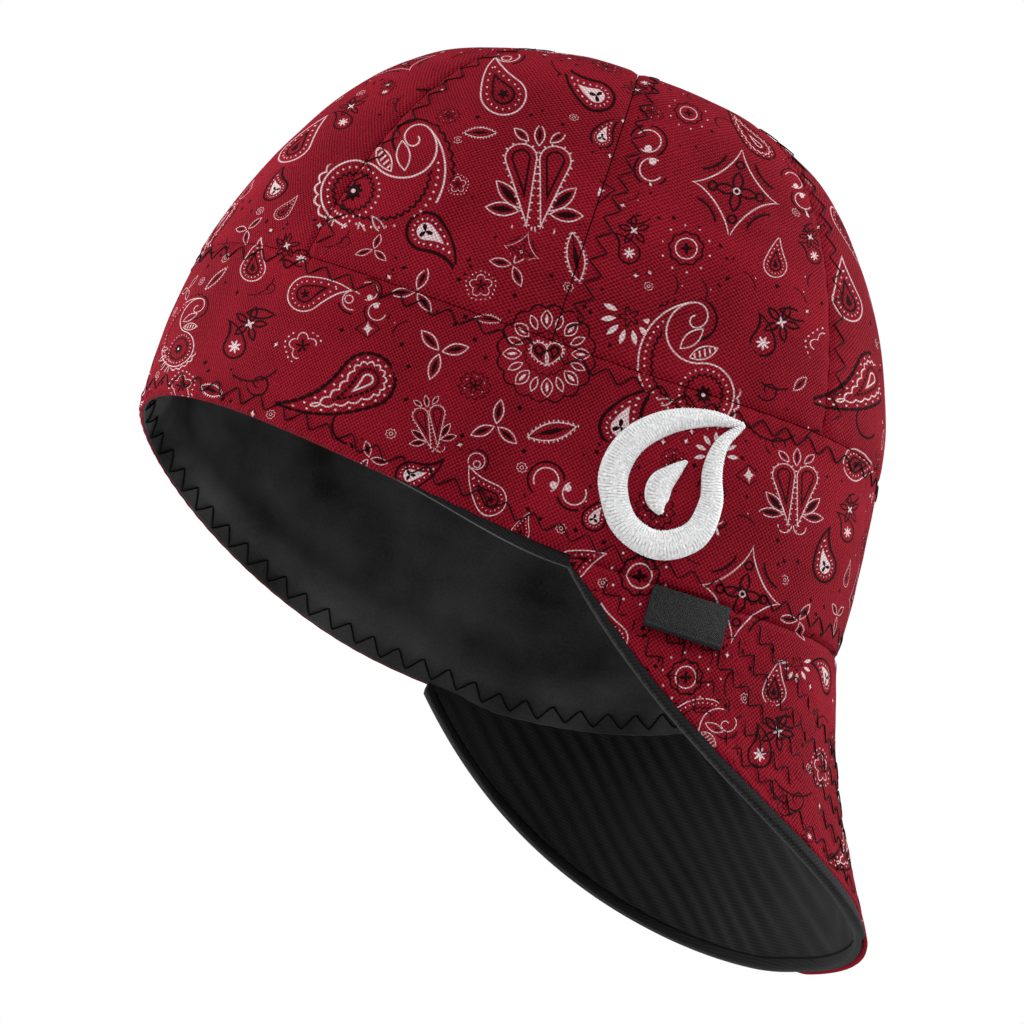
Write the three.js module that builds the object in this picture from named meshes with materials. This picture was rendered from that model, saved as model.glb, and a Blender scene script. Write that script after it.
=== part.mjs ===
// Welding cap with eight crown panels and a soft bill that hangs over the forehead.
// Millimetres, +Z up, front towards -Y, the wearer's right towards -X.
// The origin is the centre of the head opening.
import * as THREE from "three";

// Head opening, measured on the outside of the side band's lower edge
const OPENING_LENGTH = 210;
const OPENING_WIDTH = 154;
const FRONT_SQUARENESS = 2.8; // exponent of the front half's outline, 2 is an ellipse
const BACK_SQUARENESS = 1.91; // the same for the back half
const FRONT_WIDENING = 0.08; // share of the width gained at the front and lost at the back
const EDGE_TILT = -3.3; // how much higher the edge is at the front than at its middle
const EDGE_SAG = 10.4; // how far the edge hangs lower at the sides
const EDGE_FRONT_LIFT = 0.8;

// Side band, from the opening's edge up to the seam with the crown
const BAND_HEIGHT = 55;
const BAND_BULGE = 1;
const BAND_TOP_TILT = 0.5;
const BAND_TOP_SAG = 7.5;
const BAND_TOP_SHORTER = 3; // how much less its top measures from front to back
const BAND_TOP_NARROWER = 10; // and from side to side

// Crown, from the band's top to the point where the panels meet
const CROWN_RISE = 103.5;
const CROWN_SHOULDER = 3.4; // exponents of its section: a larger shoulder is a flatter top
const CROWN_SPRING = 1.24;
const CROWN_TOP_FORWARD = 1.7;
const CROWN_TURN = THREE.MathUtils.degToRad(5.8); // the soft crown sits turned on the band
const PANEL_COUNT = 8;
const PANEL_PUFF = 0.8;
const PANEL_TIP_RADIUS = 1.4;

// Bill, sewn to the opening's edge
const BILL_LENGTH = 85;
const BILL_HALF_ANGLE = THREE.MathUtils.degToRad(85.4);
const BILL_TAPER = 1.9; // exponent of the bill's length towards its ends
const BILL_SPREAD = 0.2; // how far the bill turns outwards at the sides, 1 is fully
const BILL_DIP_FRONT = THREE.MathUtils.degToRad(65);
const BILL_DIP_SIDES = THREE.MathUtils.degToRad(88);
const BILL_HOLLOW = 3.5;
const BILL_END_LENGTH = 3; // the length at which the bill's two ends stop
const BILL_LIP = 1; // how far the upper cloth reaches past the lower one

// Cloth
const SEAM_GAP = 0.3;
const BILL_SEAM_GAP = 0.6; // wider, because the bill leaves the band at an angle
const BILL_CLOTH = 1;
const LINING_CLOTH = 1;
const OUTER_WALL = 2 * BILL_CLOTH + SEAM_GAP;

// Lining hem: just above the red edge, and slipped below it behind the bill on the wearer's right
const HEM_SET_BACK = 0.8;
const HEM_SLIP = 4.3;
const HEM_SLIP_ANGLE = THREE.MathUtils.degToRad(88);
const HEM_SLIP_SPREAD = THREE.MathUtils.degToRad(28);

// Woven tab under the band's edge, on the wearer's right
const TAB_WIDTH = 23;
const TAB_DROP = 12.5;
const TAB_THICKNESS = 1.2;
const TAB_ANGLE = THREE.MathUtils.degToRad(65.3);

// Columns and rows of the faceted walls
const RING_COLUMNS = 64;
const BAND_ROWS = 5;
const LINING_ROWS = 4;
const CROWN_LINING_COLUMNS = 48;
const CROWN_LINING_ROWS = 8;
const PANEL_COLUMNS = 8;
const PANEL_ROWS = 12;
const BILL_COLUMNS = 32;
const BILL_ROWS = 5;
const TAB_COLUMNS = 4;
const TAB_ROWS = 2;
const SECTION_SAMPLES = 2000;

const RED_DUCK = new THREE.MeshStandardMaterial({ color: 0x8e0f1c, roughness: 0.9, metalness: 0 });
const BLACK_COTTON = new THREE.MeshStandardMaterial({ color: 0x1b1b1d, roughness: 0.85, metalness: 0 });
const BLACK_TAB = new THREE.MeshStandardMaterial({ color: 0x101011, roughness: 0.7, metalness: 0 });

const mix = THREE.MathUtils.lerp;

// Outline round the head. Angle 0 is the front and a quarter turn is the wearer's right.
function outline(angle, length, width) {
  const forward = Math.cos(angle);
  const side = Math.sin(angle);
  const frontShare = 0.5 * (1 + Math.tanh(6 * forward));
  const squareness = mix(BACK_SQUARENESS, FRONT_SQUARENESS, frontShare);
  const reach = (Math.abs(forward) ** squareness + Math.abs(side) ** squareness) ** (-1 / squareness);
  const widening = 1 + FRONT_WIDENING * forward * reach;
  return [(-width / 2) * side * reach * widening, (-length / 2) * forward * reach];
}

// Lower edge of the side band
function edgePoint(angle) {
  const [x, y] = outline(angle, OPENING_LENGTH, OPENING_WIDTH);
  const tilt = EDGE_TILT * Math.cos(angle);
  const sag = EDGE_SAG * Math.cos(2 * angle);
  const lift = EDGE_FRONT_LIFT * Math.cos(3 * angle);
  return new THREE.Vector3(x, y, tilt + sag + lift);
}

// Seam of band and crown
function bandTopPoint(angle) {
  const length = OPENING_LENGTH - BAND_TOP_SHORTER;
  const width = OPENING_WIDTH - BAND_TOP_NARROWER;
  const [x, y] = outline(angle, length, width);
  const tilt = BAND_TOP_TILT * Math.cos(angle);
  const sag = BAND_TOP_SAG * Math.cos(2 * angle);
  return new THREE.Vector3(x, y, BAND_HEIGHT + tilt + sag);
}

// Outward direction of a surface whose second value runs upwards
function outwardAt(surface, angle, height, heightStep) {
  const turn = surface(angle + 0.01, height).sub(surface(angle - 0.01, height));
  const rise = surface(angle, height + heightStep).sub(surface(angle, height - heightStep));
  return rise.cross(turn).normalize();
}

// Outside of the band, share 0 at its lower edge and 1 at its top. Below 0 it hangs straight down.
function bandSurface(angle, share) {
  const low = edgePoint(angle);
  const point = low.clone().lerp(bandTopPoint(angle), Math.max(share, 0));
  point.z += BAND_HEIGHT * Math.min(share, 0);
  const swell = BAND_BULGE * Math.sin(Math.PI * THREE.MathUtils.clamp(share, 0, 1));
  const sideways = new THREE.Vector3(low.x, low.y, 0).normalize();
  return point.addScaledVector(sideways, swell);
}

function bandWall(angle, share, depth) {
  const outward = outwardAt(bandSurface, angle, share, 0.02);
  return bandSurface(angle, share).addScaledVector(outward, -depth);
}

// Section of the crown: its length, and the shares of radius and height met along it
const section = [];
let sectionLength = 0;
for (let i = 0; i <= SECTION_SAMPLES; i += 1) {
  const turn = (Math.PI / 2) * (i / SECTION_SAMPLES);
  const radius = Math.max(Math.cos(turn), 0) ** (2 / CROWN_SHOULDER);
  const height = Math.sin(turn) ** (2 / CROWN_SPRING);
  const last = section[i - 1];
  if (last) {
    const meanRadius = (OPENING_LENGTH + OPENING_WIDTH) / 4;
    sectionLength += Math.hypot((radius - last.radius) * meanRadius, (height - last.height) * CROWN_RISE);
  }
  section.push({ radius, height, length: sectionLength });
}

function sectionAt(share) {
  const wanted = THREE.MathUtils.clamp(share, 0, 1) * sectionLength;
  const after = Math.max(1, section.findIndex((sample) => sample.length >= wanted));
  const a = section[after - 1];
  const b = section[after];
  const part = THREE.MathUtils.clamp((wanted - a.length) / (b.length - a.length), 0, 1);
  return { radius: mix(a.radius, b.radius, part), height: mix(a.height, b.height, part) };
}

// Outside of the crown without the puff of its panels, share 0 at the band and 1 at the top
function crownSurface(angle, share) {
  const base = bandTopPoint(angle);
  const { radius, height } = sectionAt(share);
  const y = base.y * radius - CROWN_TOP_FORWARD * height;
  return new THREE.Vector3(base.x * radius, y, mix(base.z, BAND_HEIGHT + CROWN_RISE, height));
}

function crownWall(angle, share, depth) {
  const outward = outwardAt(crownSurface, angle, share, 0.002);
  return crownSurface(angle, share).addScaledVector(outward, -depth);
}

// Length of the bill from the edge to its rim
function billReach(angle) {
  const share = Math.min(Math.abs(angle) / BILL_HALF_ANGLE, 1);
  return BILL_LENGTH * (1 - share ** BILL_TAPER);
}

// Upper face of the bill, at a height that is minus the distance from the opening's edge
function billSurface(angle, height) {
  const distance = -height;
  const dip = mix(BILL_DIP_FRONT, BILL_DIP_SIDES, Math.sin(angle) ** 2);
  const sideways = new THREE.Vector3(-Math.sin(angle) * BILL_SPREAD, -Math.cos(angle), 0).normalize();
  const reach = billReach(angle);
  const hollow = BILL_HOLLOW * (reach / BILL_LENGTH) * Math.sin((Math.PI * distance) / Math.max(reach, distance));
  const forward = distance * Math.cos(dip) - hollow * Math.sin(dip);
  const down = distance * Math.sin(dip) + hollow * Math.cos(dip);
  return edgePoint(angle).addScaledVector(sideways, forward).add(new THREE.Vector3(0, 0, -down));
}

function billWall(angle, distance, depth) {
  const outward = outwardAt(billSurface, angle, -distance, 0.5);
  return billSurface(angle, -distance).addScaledVector(outward, -depth);
}

// A closed wall between an outer and an inner face. pointAt takes shares of its columns and rows,
// with the rows upwards, and "outer" or "inner". A joined wall closes on itself.
function wall(pointAt, columns, rows, joined = false) {
  const across = joined ? columns : columns + 1;
  const positions = [];
  const triangles = [];
  const corner = (face, row, column) => (face * (rows + 1) + row) * across + (column % across);
  const quad = (a, b, c, d) => triangles.push(a, b, c, a, c, d);
  ["outer", "inner"].forEach((side) => {
    for (let row = 0; row <= rows; row += 1) {
      for (let column = 0; column < across; column += 1) {
        positions.push(...pointAt(column / columns, row / rows, side).toArray());
      }
    }
  });
  for (let column = 0; column < columns; column += 1) {
    const next = column + 1;
    for (let row = 0; row < rows; row += 1) {
      const up = row + 1;
      quad(corner(0, row, column), corner(0, up, column), corner(0, up, next), corner(0, row, next));
      quad(corner(1, row, column), corner(1, row, next), corner(1, up, next), corner(1, up, column));
    }
    quad(corner(0, 0, column), corner(0, 0, next), corner(1, 0, next), corner(1, 0, column));
    quad(corner(0, rows, column), corner(1, rows, column), corner(1, rows, next), corner(0, rows, next));
  }
  for (let row = 0; row < rows && !joined; row += 1) {
    const up = row + 1;
    quad(corner(0, row, 0), corner(1, row, 0), corner(1, up, 0), corner(0, up, 0));
    quad(corner(0, row, columns), corner(0, up, columns), corner(1, up, columns), corner(1, row, columns));
  }
  const geometry = new THREE.BufferGeometry();
  geometry.setAttribute("position", new THREE.Float32BufferAttribute(positions, 3));
  geometry.setIndex(triangles);
  geometry.computeVertexNormals();
  return geometry;
}

function named(name, geometry, material) {
  const mesh = new THREE.Mesh(geometry, material);
  mesh.name = name;
  return mesh;
}

// One gore of the crown, between two seams
function crownPanel(index) {
  const pitch = (2 * Math.PI) / PANEL_COUNT;
  const start = CROWN_TURN + index * pitch;
  const firstShare = SEAM_GAP / 2 / sectionLength;
  const lastShare = 1 - PANEL_TIP_RADIUS / sectionLength;
  const geometry = wall(
    (column, row, side) => {
      const share = mix(firstShare, lastShare, row);
      const onSeam = crownSurface(start, share);
      const inset = SEAM_GAP / 2 / Math.hypot(onSeam.x, onSeam.y + CROWN_TOP_FORWARD);
      const angle = mix(start + inset, start + pitch - inset, column);
      const puff = PANEL_PUFF * 4 * column * (1 - column) * Math.sin(Math.PI * share ** 0.7);
      return crownWall(angle, share, (side === "outer" ? 0 : OUTER_WALL) - puff);
    },
    PANEL_COLUMNS,
    PANEL_ROWS,
  );
  return named(`crown_panel_${index + 1}`, geometry, RED_DUCK);
}

// The band starts and ends at its butt seam at the centre back
function sideBand() {
  const inset = SEAM_GAP / OPENING_WIDTH;
  const topShare = 1 - SEAM_GAP / 2 / BAND_HEIGHT;
  const geometry = wall(
    (column, row, side) => {
      const angle = mix(-Math.PI + inset, Math.PI - inset, column);
      return bandWall(angle, row * topShare, side === "outer" ? 0 : OUTER_WALL);
    },
    RING_COLUMNS,
    BAND_ROWS,
  );
  return named("side_band", geometry, RED_DUCK);
}

function billLayer(name, material, outerDepth, innerDepth, shortening) {
  const endShare = (1 - (BILL_END_LENGTH + shortening) / BILL_LENGTH) ** (1 / BILL_TAPER);
  const endAngle = BILL_HALF_ANGLE * endShare;
  const geometry = wall(
    (column, row, side) => {
      const angle = mix(-endAngle, endAngle, column);
      const distance = mix(billReach(angle) - shortening, BILL_SEAM_GAP, row);
      return billWall(angle, distance, side === "outer" ? outerDepth : innerDepth);
    },
    BILL_COLUMNS,
    BILL_ROWS,
  );
  return named(name, geometry, material);
}

function liningBand() {
  const outerDepth = OUTER_WALL + SEAM_GAP;
  const topShare = 1 - SEAM_GAP / 2 / BAND_HEIGHT;
  const geometry = wall(
    (column, row, side) => {
      const angle = 2 * Math.PI * column;
      const away = Math.min(Math.abs(angle - HEM_SLIP_ANGLE) / HEM_SLIP_SPREAD, 1);
      const slip = HEM_SLIP * Math.cos((Math.PI / 2) * away) ** 2;
      const hemShare = (HEM_SET_BACK - slip) / BAND_HEIGHT;
      const depth = side === "outer" ? outerDepth : outerDepth + LINING_CLOTH;
      return bandWall(angle, mix(hemShare, topShare, row), depth);
    },
    RING_COLUMNS,
    LINING_ROWS,
    true,
  );
  return named("lining_band", geometry, BLACK_COTTON);
}

// A dome that closes over the head: its last row meets in one point on each face
function liningCrown() {
  const outerDepth = OUTER_WALL + SEAM_GAP;
  const firstShare = SEAM_GAP / 2 / sectionLength;
  const positions = [];
  const triangles = [];
  const rings = CROWN_LINING_ROWS;
  const ringStart = (face, row) => (face * rings + row) * CROWN_LINING_COLUMNS;
  [outerDepth, outerDepth + LINING_CLOTH].forEach((depth) => {
    for (let row = 0; row < rings; row += 1) {
      for (let column = 0; column < CROWN_LINING_COLUMNS; column += 1) {
        const angle = (2 * Math.PI * column) / CROWN_LINING_COLUMNS;
        positions.push(...crownWall(angle, mix(firstShare, 1, row / rings), depth).toArray());
      }
    }
  });
  const outerTip = positions.length / 3;
  [outerDepth, outerDepth + LINING_CLOTH].forEach((depth) => {
    positions.push(0, -CROWN_TOP_FORWARD, BAND_HEIGHT + CROWN_RISE - depth);
  });
  for (let column = 0; column < CROWN_LINING_COLUMNS; column += 1) {
    const next = (column + 1) % CROWN_LINING_COLUMNS;
    const quad = (a, b, c, d) => triangles.push(a, b, c, a, c, d);
    for (let row = 0; row < rings - 1; row += 1) {
      const [out, outUp] = [ringStart(0, row), ringStart(0, row + 1)];
      const [inn, innUp] = [ringStart(1, row), ringStart(1, row + 1)];
      quad(out + column, outUp + column, outUp + next, out + next);
      quad(inn + column, inn + next, innUp + next, innUp + column);
    }
    const [outLast, innLast] = [ringStart(0, rings - 1), ringStart(1, rings - 1)];
    triangles.push(outLast + column, outerTip, outLast + next);
    triangles.push(innLast + column, innLast + next, outerTip + 1);
    quad(ringStart(0, 0) + column, ringStart(0, 0) + next, ringStart(1, 0) + next, ringStart(1, 0) + column);
  }
  const geometry = new THREE.BufferGeometry();
  geometry.setAttribute("position", new THREE.Float32BufferAttribute(positions, 3));
  geometry.setIndex(triangles);
  geometry.computeVertexNormals();
  return named("lining_crown", geometry, BLACK_COTTON);
}

// The tab hangs over the bill's upper face, from the seam of band and bill
function labelTab() {
  const edgeStep = edgePoint(TAB_ANGLE + 0.01).distanceTo(edgePoint(TAB_ANGLE - 0.01)) / 0.02;
  const halfAngle = TAB_WIDTH / 2 / edgeStep;
  const geometry = wall(
    (column, row, side) => {
      const angle = TAB_ANGLE + mix(-halfAngle, halfAngle, column);
      const distance = mix(TAB_DROP + BILL_SEAM_GAP, BILL_SEAM_GAP, row);
      const depth = side === "outer" ? -SEAM_GAP - TAB_THICKNESS : -SEAM_GAP;
      return billWall(angle, distance, depth);
    },
    TAB_COLUMNS,
    TAB_ROWS,
  );
  return named("label_tab", geometry, BLACK_TAB);
}

const crown = new THREE.Group();
for (let index = 0; index < PANEL_COUNT; index += 1) {
  crown.add(crownPanel(index));
}
crown.add(liningCrown());

const band = new THREE.Group();
band.add(sideBand(), liningBand());

const bill = new THREE.Group();
bill.add(billLayer("bill_top", RED_DUCK, 0, BILL_CLOTH, 0));
bill.add(billLayer("bill_underside", BLACK_COTTON, BILL_CLOTH + SEAM_GAP, OUTER_WALL, BILL_LIP));
bill.add(labelTab());

const cap = new THREE.Group();
cap.add(crown, band, bill);

export default cap;
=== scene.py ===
"""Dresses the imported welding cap: printed duck, lining, seams, quilting, embroidery and studio.

Lengths in the classes are millimetres, as in the CAD source, and meshes are written in metres.
Angle 0 is the front of the cap and a quarter turn is the wearer's right.
"""
import logging
from dataclasses import dataclass, field
from enum import IntEnum
from functools import cached_property
from math import acos, cos, dist, pi, radians, sin, sqrt
from typing import Callable, Sequence

import bpy
import bmesh
import numpy as np
from bpy.types import Material, Mesh, Node, NodeSocket, NodeTree, Object
from mathutils import Matrix, Vector


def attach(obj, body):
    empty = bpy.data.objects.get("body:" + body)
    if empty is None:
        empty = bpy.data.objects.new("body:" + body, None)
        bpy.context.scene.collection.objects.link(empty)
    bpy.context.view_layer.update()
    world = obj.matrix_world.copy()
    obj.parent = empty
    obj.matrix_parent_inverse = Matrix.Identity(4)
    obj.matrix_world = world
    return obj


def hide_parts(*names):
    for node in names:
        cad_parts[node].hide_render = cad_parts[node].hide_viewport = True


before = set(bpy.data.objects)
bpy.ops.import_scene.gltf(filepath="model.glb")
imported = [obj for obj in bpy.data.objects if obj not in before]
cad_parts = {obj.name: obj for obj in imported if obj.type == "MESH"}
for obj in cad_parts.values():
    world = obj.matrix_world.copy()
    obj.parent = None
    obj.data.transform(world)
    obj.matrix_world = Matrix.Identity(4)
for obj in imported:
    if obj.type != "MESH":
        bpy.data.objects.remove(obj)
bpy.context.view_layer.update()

log = logging.getLogger("welding_cap")
Array = np.ndarray
Surface = Callable[[Array, Array], Array]
Spot = tuple[float, float]
Placing = tuple[Array, Array, Array]
Knots = Sequence[tuple[float, float, float]]
MM = 0.001
BODY = "root"
# Half widths of the print's lines and the width over which ink fades, in millimetres.
WHITE_LINE = 0.15
BLACK_LINE = 0.3
INK_EDGE = 0.22
# Steps at which the slopes of the surfaces are measured: in height for each part, and in angle.
CROWN_STEP = 0.002
BAND_STEP = 0.02
BILL_STEP = 0.5
ANGLE_STEP = 0.01
# Millimetres of cloth for each radian round the head, for the weave's coordinates.
CLOTH_RUN = 95.0
SQUARE_MM_IN_M = 1e6


def blend_between(low: Array | float, high: Array | float, share: Array | float) -> Array | float:
    """Returns the value that lies at a share of the way from low to high."""
    return low + (high - low) * share


def unit(vectors: Array) -> Array:
    """Returns the vectors with length 1."""
    return vectors / np.maximum(np.linalg.norm(vectors, axis=-1, keepdims=True), 1e-9)


def bell(distance: Array, width: float) -> Array:
    """Returns a hump that is 1 at distance 0 and fades over width."""
    return np.exp(-((distance / width) ** 2))


def ripple(points: Array, wavelength: float, seed: int) -> Array:
    """Returns a smooth random wave between about -1 and 1.

    Args:
        points: places in millimetres, in the last axis.
        wavelength: the mean length of a wave, in millimetres.
        seed: picks the waves.

    Returns:
        One value for each place.
    """
    source = np.random.default_rng(seed)
    total = np.zeros(points.shape[:-1])
    for _ in range(7):
        direction = source.normal(size=3)
        direction *= 2 * pi / wavelength * source.uniform(0.6, 1.5) / np.linalg.norm(direction)
        total += np.sin(points @ direction + source.uniform(0, 2 * pi))
    return total / 3.5


def waves(points: Array, *parts: tuple[float, float, int]) -> Array:
    """Returns a sum of ripples, each given by its height, wavelength and seed."""
    return sum(height * ripple(points, wavelength, seed) for height, wavelength, seed in parts)


def eased(ramp: Array) -> Array:
    """Returns a ramp from 0 to 1 that starts and ends slowly."""
    return 0.5 - 0.5 * np.cos(pi * ramp)


def turn_from(angle: Array, middle: float) -> Array:
    """Returns how far the angles are turned from a middle one, at most half a turn."""
    return np.abs(np.mod(angle - middle + pi, 2 * pi) - pi)


def pucker(distance: Array, fade: float, run: Array, pitch: float, drift: Array | float = 0.0) -> Array:
    """Returns the wave that a seam draws into the cloth beside it.

    Args:
        distance: distance from the seam.
        fade: distance over which the wave fades.
        run: place along the seam.
        pitch: length of one wave.
        drift: what shifts the wave, in radians.

    Returns:
        The wave, with a height of 1 at the seam.
    """
    return np.exp(-distance / fade) * np.sin(2 * pi * run / pitch + drift)


def feed(node: Node, inputs: dict) -> Node:
    """Gives a node its inputs, each a field, the output of another node or a plain value."""
    for key, value in inputs.items():
        if isinstance(value, Field):
            value = value.socket
        if isinstance(value, NodeSocket):
            node.id_data.links.new(value, node.inputs[key])
        else:
            node.inputs[key].default_value = value
    return node


def add_node(tree: NodeTree, kind: str, inputs: dict | None = None, **settings: object) -> Node:
    """Adds a node with its settings and its inputs to a tree."""
    node = tree.nodes.new(kind)
    for name, value in settings.items():
        setattr(node, name, value)
    return feed(node, inputs or {})


def new_material(name: str, inputs: dict[str, object]) -> tuple[Material, Node]:
    """Returns a new node material, and its shader with the given inputs."""
    material = bpy.data.materials.new(name)
    material.use_nodes = True
    return material, feed(material.node_tree.nodes["Principled BSDF"], inputs)


@dataclass(frozen=True)
class CapForm:
    """The cap's surfaces, from the same named sizes as the CAD source."""

    opening_length: float = 210.0
    opening_width: float = 154.0
    front_squareness: float = 2.8
    back_squareness: float = 1.91
    front_widening: float = 0.08
    edge_tilt: float = -3.3
    edge_sag: float = 10.4
    edge_front_lift: float = 0.8
    band_height: float = 55.0
    band_bulge: float = 1.0
    band_top_tilt: float = 0.5
    band_top_sag: float = 7.5
    band_top_shorter: float = 3.0
    band_top_narrower: float = 10.0
    crown_rise: float = 103.5
    crown_shoulder: float = 3.4
    crown_spring: float = 1.24
    crown_top_forward: float = 1.7
    bill_length: float = 85.0
    bill_half_angle: float = radians(85.4)
    bill_taper: float = 1.9
    bill_spread: float = 0.2
    bill_dip_front: float = radians(65)
    bill_dip_sides: float = radians(88)
    bill_hollow: float = 3.5

    def outline(self, angle: Array, length: float, width: float) -> tuple[Array, Array]:
        """Returns x and y of the outline round the head at the given angles."""
        forward = np.cos(angle)
        side = np.sin(angle)
        front = 0.5 * (1 + np.tanh(6 * forward))
        power = blend_between(self.back_squareness, self.front_squareness, front)
        reach = (np.abs(forward) ** power + np.abs(side) ** power) ** (-1 / power)
        widening = 1 + self.front_widening * forward * reach
        return -width / 2 * side * reach * widening, -length / 2 * forward * reach

    def edge(self, angle: Array) -> Array:
        """Returns the points of the side band's lower edge."""
        x, y = self.outline(angle, self.opening_length, self.opening_width)
        z = self.edge_tilt * np.cos(angle) + self.edge_sag * np.cos(2 * angle)
        return np.stack([x, y, z + self.edge_front_lift * np.cos(3 * angle)], -1)

    def band_top(self, angle: Array) -> Array:
        """Returns the points of the seam between band and crown."""
        length = self.opening_length - self.band_top_shorter
        x, y = self.outline(angle, length, self.opening_width - self.band_top_narrower)
        z = self.band_top_tilt * np.cos(angle) + self.band_top_sag * np.cos(2 * angle)
        return np.stack([x, y, self.band_height + z], -1)

    def band(self, angle: Array, share: Array) -> Array:
        """Returns the band's outside, share 0 at its lower edge and 1 at its top."""
        low = self.edge(angle)
        point = blend_between(low, self.band_top(angle), np.maximum(share, 0)[..., None])
        point[..., 2] += self.band_height * np.minimum(share, 0)
        sideways = unit(low * np.array([1.0, 1.0, 0.0]))
        swell = self.band_bulge * np.sin(pi * np.clip(share, 0, 1))
        return point + sideways * swell[..., None]

    @cached_property
    def section(self) -> tuple[Array, Array, Array]:
        """Shares of radius and height along the crown's section, and the length up to each."""
        turn = np.linspace(0, pi / 2, 2001)
        radius = np.maximum(np.cos(turn), 0) ** (2 / self.crown_shoulder)
        height = np.sin(turn) ** (2 / self.crown_spring)
        mean_radius = (self.opening_length + self.opening_width) / 4
        steps = np.hypot(np.diff(radius) * mean_radius, np.diff(height) * self.crown_rise)
        return radius, height, np.concatenate([[0.0], np.cumsum(steps)])

    @property
    def section_length(self) -> float:
        """The length of the crown's section, from the band to the top."""
        return float(self.section[2][-1])

    def crown(self, angle: Array, share: Array) -> Array:
        """Returns the crown's outside without puff, share 0 at the band and 1 at the top."""
        radii, heights, lengths = self.section
        wanted = np.clip(share, 0, 1) * lengths[-1]
        radius = np.interp(wanted, lengths, radii)
        height = np.interp(wanted, lengths, heights)
        base = self.band_top(angle)
        y = base[..., 1] * radius - self.crown_top_forward * height
        z = blend_between(base[..., 2], self.band_height + self.crown_rise, height)
        return np.stack([base[..., 0] * radius, y, z], -1)

    def bill_reach(self, angle: Array) -> Array:
        """Returns the bill's length from the edge to its rim."""
        share = np.minimum(np.abs(angle) / self.bill_half_angle, 1)
        return self.bill_length * (1 - share ** self.bill_taper)

    def bill(self, angle: Array, height: Array) -> Array:
        """Returns the bill's upper face, at minus the distance from the opening's edge."""
        distance = -height
        dip = blend_between(self.bill_dip_front, self.bill_dip_sides, np.sin(angle) ** 2)
        flat = np.zeros_like(angle)
        sideways = unit(np.stack([-np.sin(angle) * self.bill_spread, -np.cos(angle), flat], -1))
        reach = self.bill_reach(angle)
        swell = np.sin(pi * distance / np.maximum(np.maximum(reach, distance), 1e-6))
        hollow = self.bill_hollow * (reach / self.bill_length) * swell
        forward = distance * np.cos(dip) - hollow * np.sin(dip)
        down = distance * np.sin(dip) + hollow * np.cos(dip)
        return self.edge(angle) + sideways * forward[..., None] - np.stack([flat, flat, down], -1)

    def outward(self, surface: Surface, angle: Array, height: Array, step: float) -> Array:
        """Returns the outward direction of a surface whose second value runs upwards."""
        turn = surface(angle + ANGLE_STEP, height) - surface(angle - ANGLE_STEP, height)
        rise = surface(angle, height + step) - surface(angle, height - step)
        return unit(np.cross(rise, turn))

    def radius_at(self, angle: Array, share: Array) -> Array:
        """Returns the crown's distance from its middle line."""
        point = self.crown(angle, share)
        return np.hypot(point[..., 0], point[..., 1] + self.crown_top_forward)

    def run_of_angle(self, surface: Surface, angle: Array, height: Array) -> Array:
        """Returns how many millimetres a surface runs for each radian of angle."""
        turn = surface(angle + ANGLE_STEP, height) - surface(angle - ANGLE_STEP, height)
        return np.linalg.norm(turn, axis=-1) / (2 * ANGLE_STEP)


class Field:
    """A number that varies over a surface, held as a shader node's output, with arithmetic."""

    def __init__(self, tree: NodeTree, socket: NodeSocket) -> None:
        """Wraps one output of a node in the tree."""
        self.tree = tree
        self.socket = socket

    def do(self, operation: str, *values: "Field | float", clamp: bool = False) -> "Field":
        """Returns the result of one Math node whose inputs are the values in order."""
        inputs = dict(enumerate(values))
        node = add_node(self.tree, "ShaderNodeMath", inputs, operation=operation, use_clamp=clamp)
        return Field(self.tree, node.outputs[0])

    def __add__(self, other: "Field | float") -> "Field":
        """Adds."""
        return self.do("ADD", self, other)

    __radd__ = __add__

    def __sub__(self, other: "Field | float") -> "Field":
        """Subtracts."""
        return self.do("SUBTRACT", self, other)

    def __rsub__(self, other: float) -> "Field":
        """Subtracts from a number."""
        return self.do("SUBTRACT", other, self)

    def __mul__(self, other: "Field | float") -> "Field":
        """Multiplies."""
        return self.do("MULTIPLY", self, other)

    __rmul__ = __mul__

    def __abs__(self) -> "Field":
        """Drops the sign."""
        return self.do("ABSOLUTE", self)

    def times_plus(self, factor: "Field | float", term: "Field | float", clamp: bool = False) -> "Field":
        """Returns self times factor plus term."""
        return self.do("MULTIPLY_ADD", self, factor, term, clamp=clamp)

    def at_least(self, other: "Field | float") -> "Field":
        """Returns the larger of the two."""
        return self.do("MAXIMUM", self, other)

    def at_most(self, other: "Field | float") -> "Field":
        """Returns the smaller of the two."""
        return self.do("MINIMUM", self, other)

    def sine(self) -> "Field":
        """Returns the sine."""
        return self.do("SINE", self)

    def cosine(self) -> "Field":
        """Returns the cosine."""
        return self.do("COSINE", self)

    def bounce(self, pitch: float) -> "Field":
        """Returns the distance from the nearest multiple of pitch."""
        return self.do("PINGPONG", self, pitch / 2)

    def distance_with(self, other: "Field") -> "Field":
        """Returns the length of the flat vector made of the two."""
        flat = add_node(self.tree, "ShaderNodeCombineXYZ", {0: self, 1: other})
        length = add_node(self.tree, "ShaderNodeVectorMath", {0: flat.outputs[0]}, operation="LENGTH")
        return Field(self.tree, length.outputs["Value"])

    def line(self, half_width: float, soft: float = INK_EDGE) -> "Field":
        """Returns ink along the places where this distance is 0."""
        return abs(self).times_plus(-1 / soft, half_width / soft + 0.5, clamp=True)

    def white(self) -> "Field":
        """Returns a line of the white ink's width."""
        return self.line(WHITE_LINE)

    def black(self) -> "Field":
        """Returns a line of the black ink's width."""
        return self.line(BLACK_LINE)

    def inside(self, soft: float = INK_EDGE) -> "Field":
        """Returns ink wherever this distance is negative."""
        return self.times_plus(-1 / soft, 0.5, clamp=True)


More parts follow.
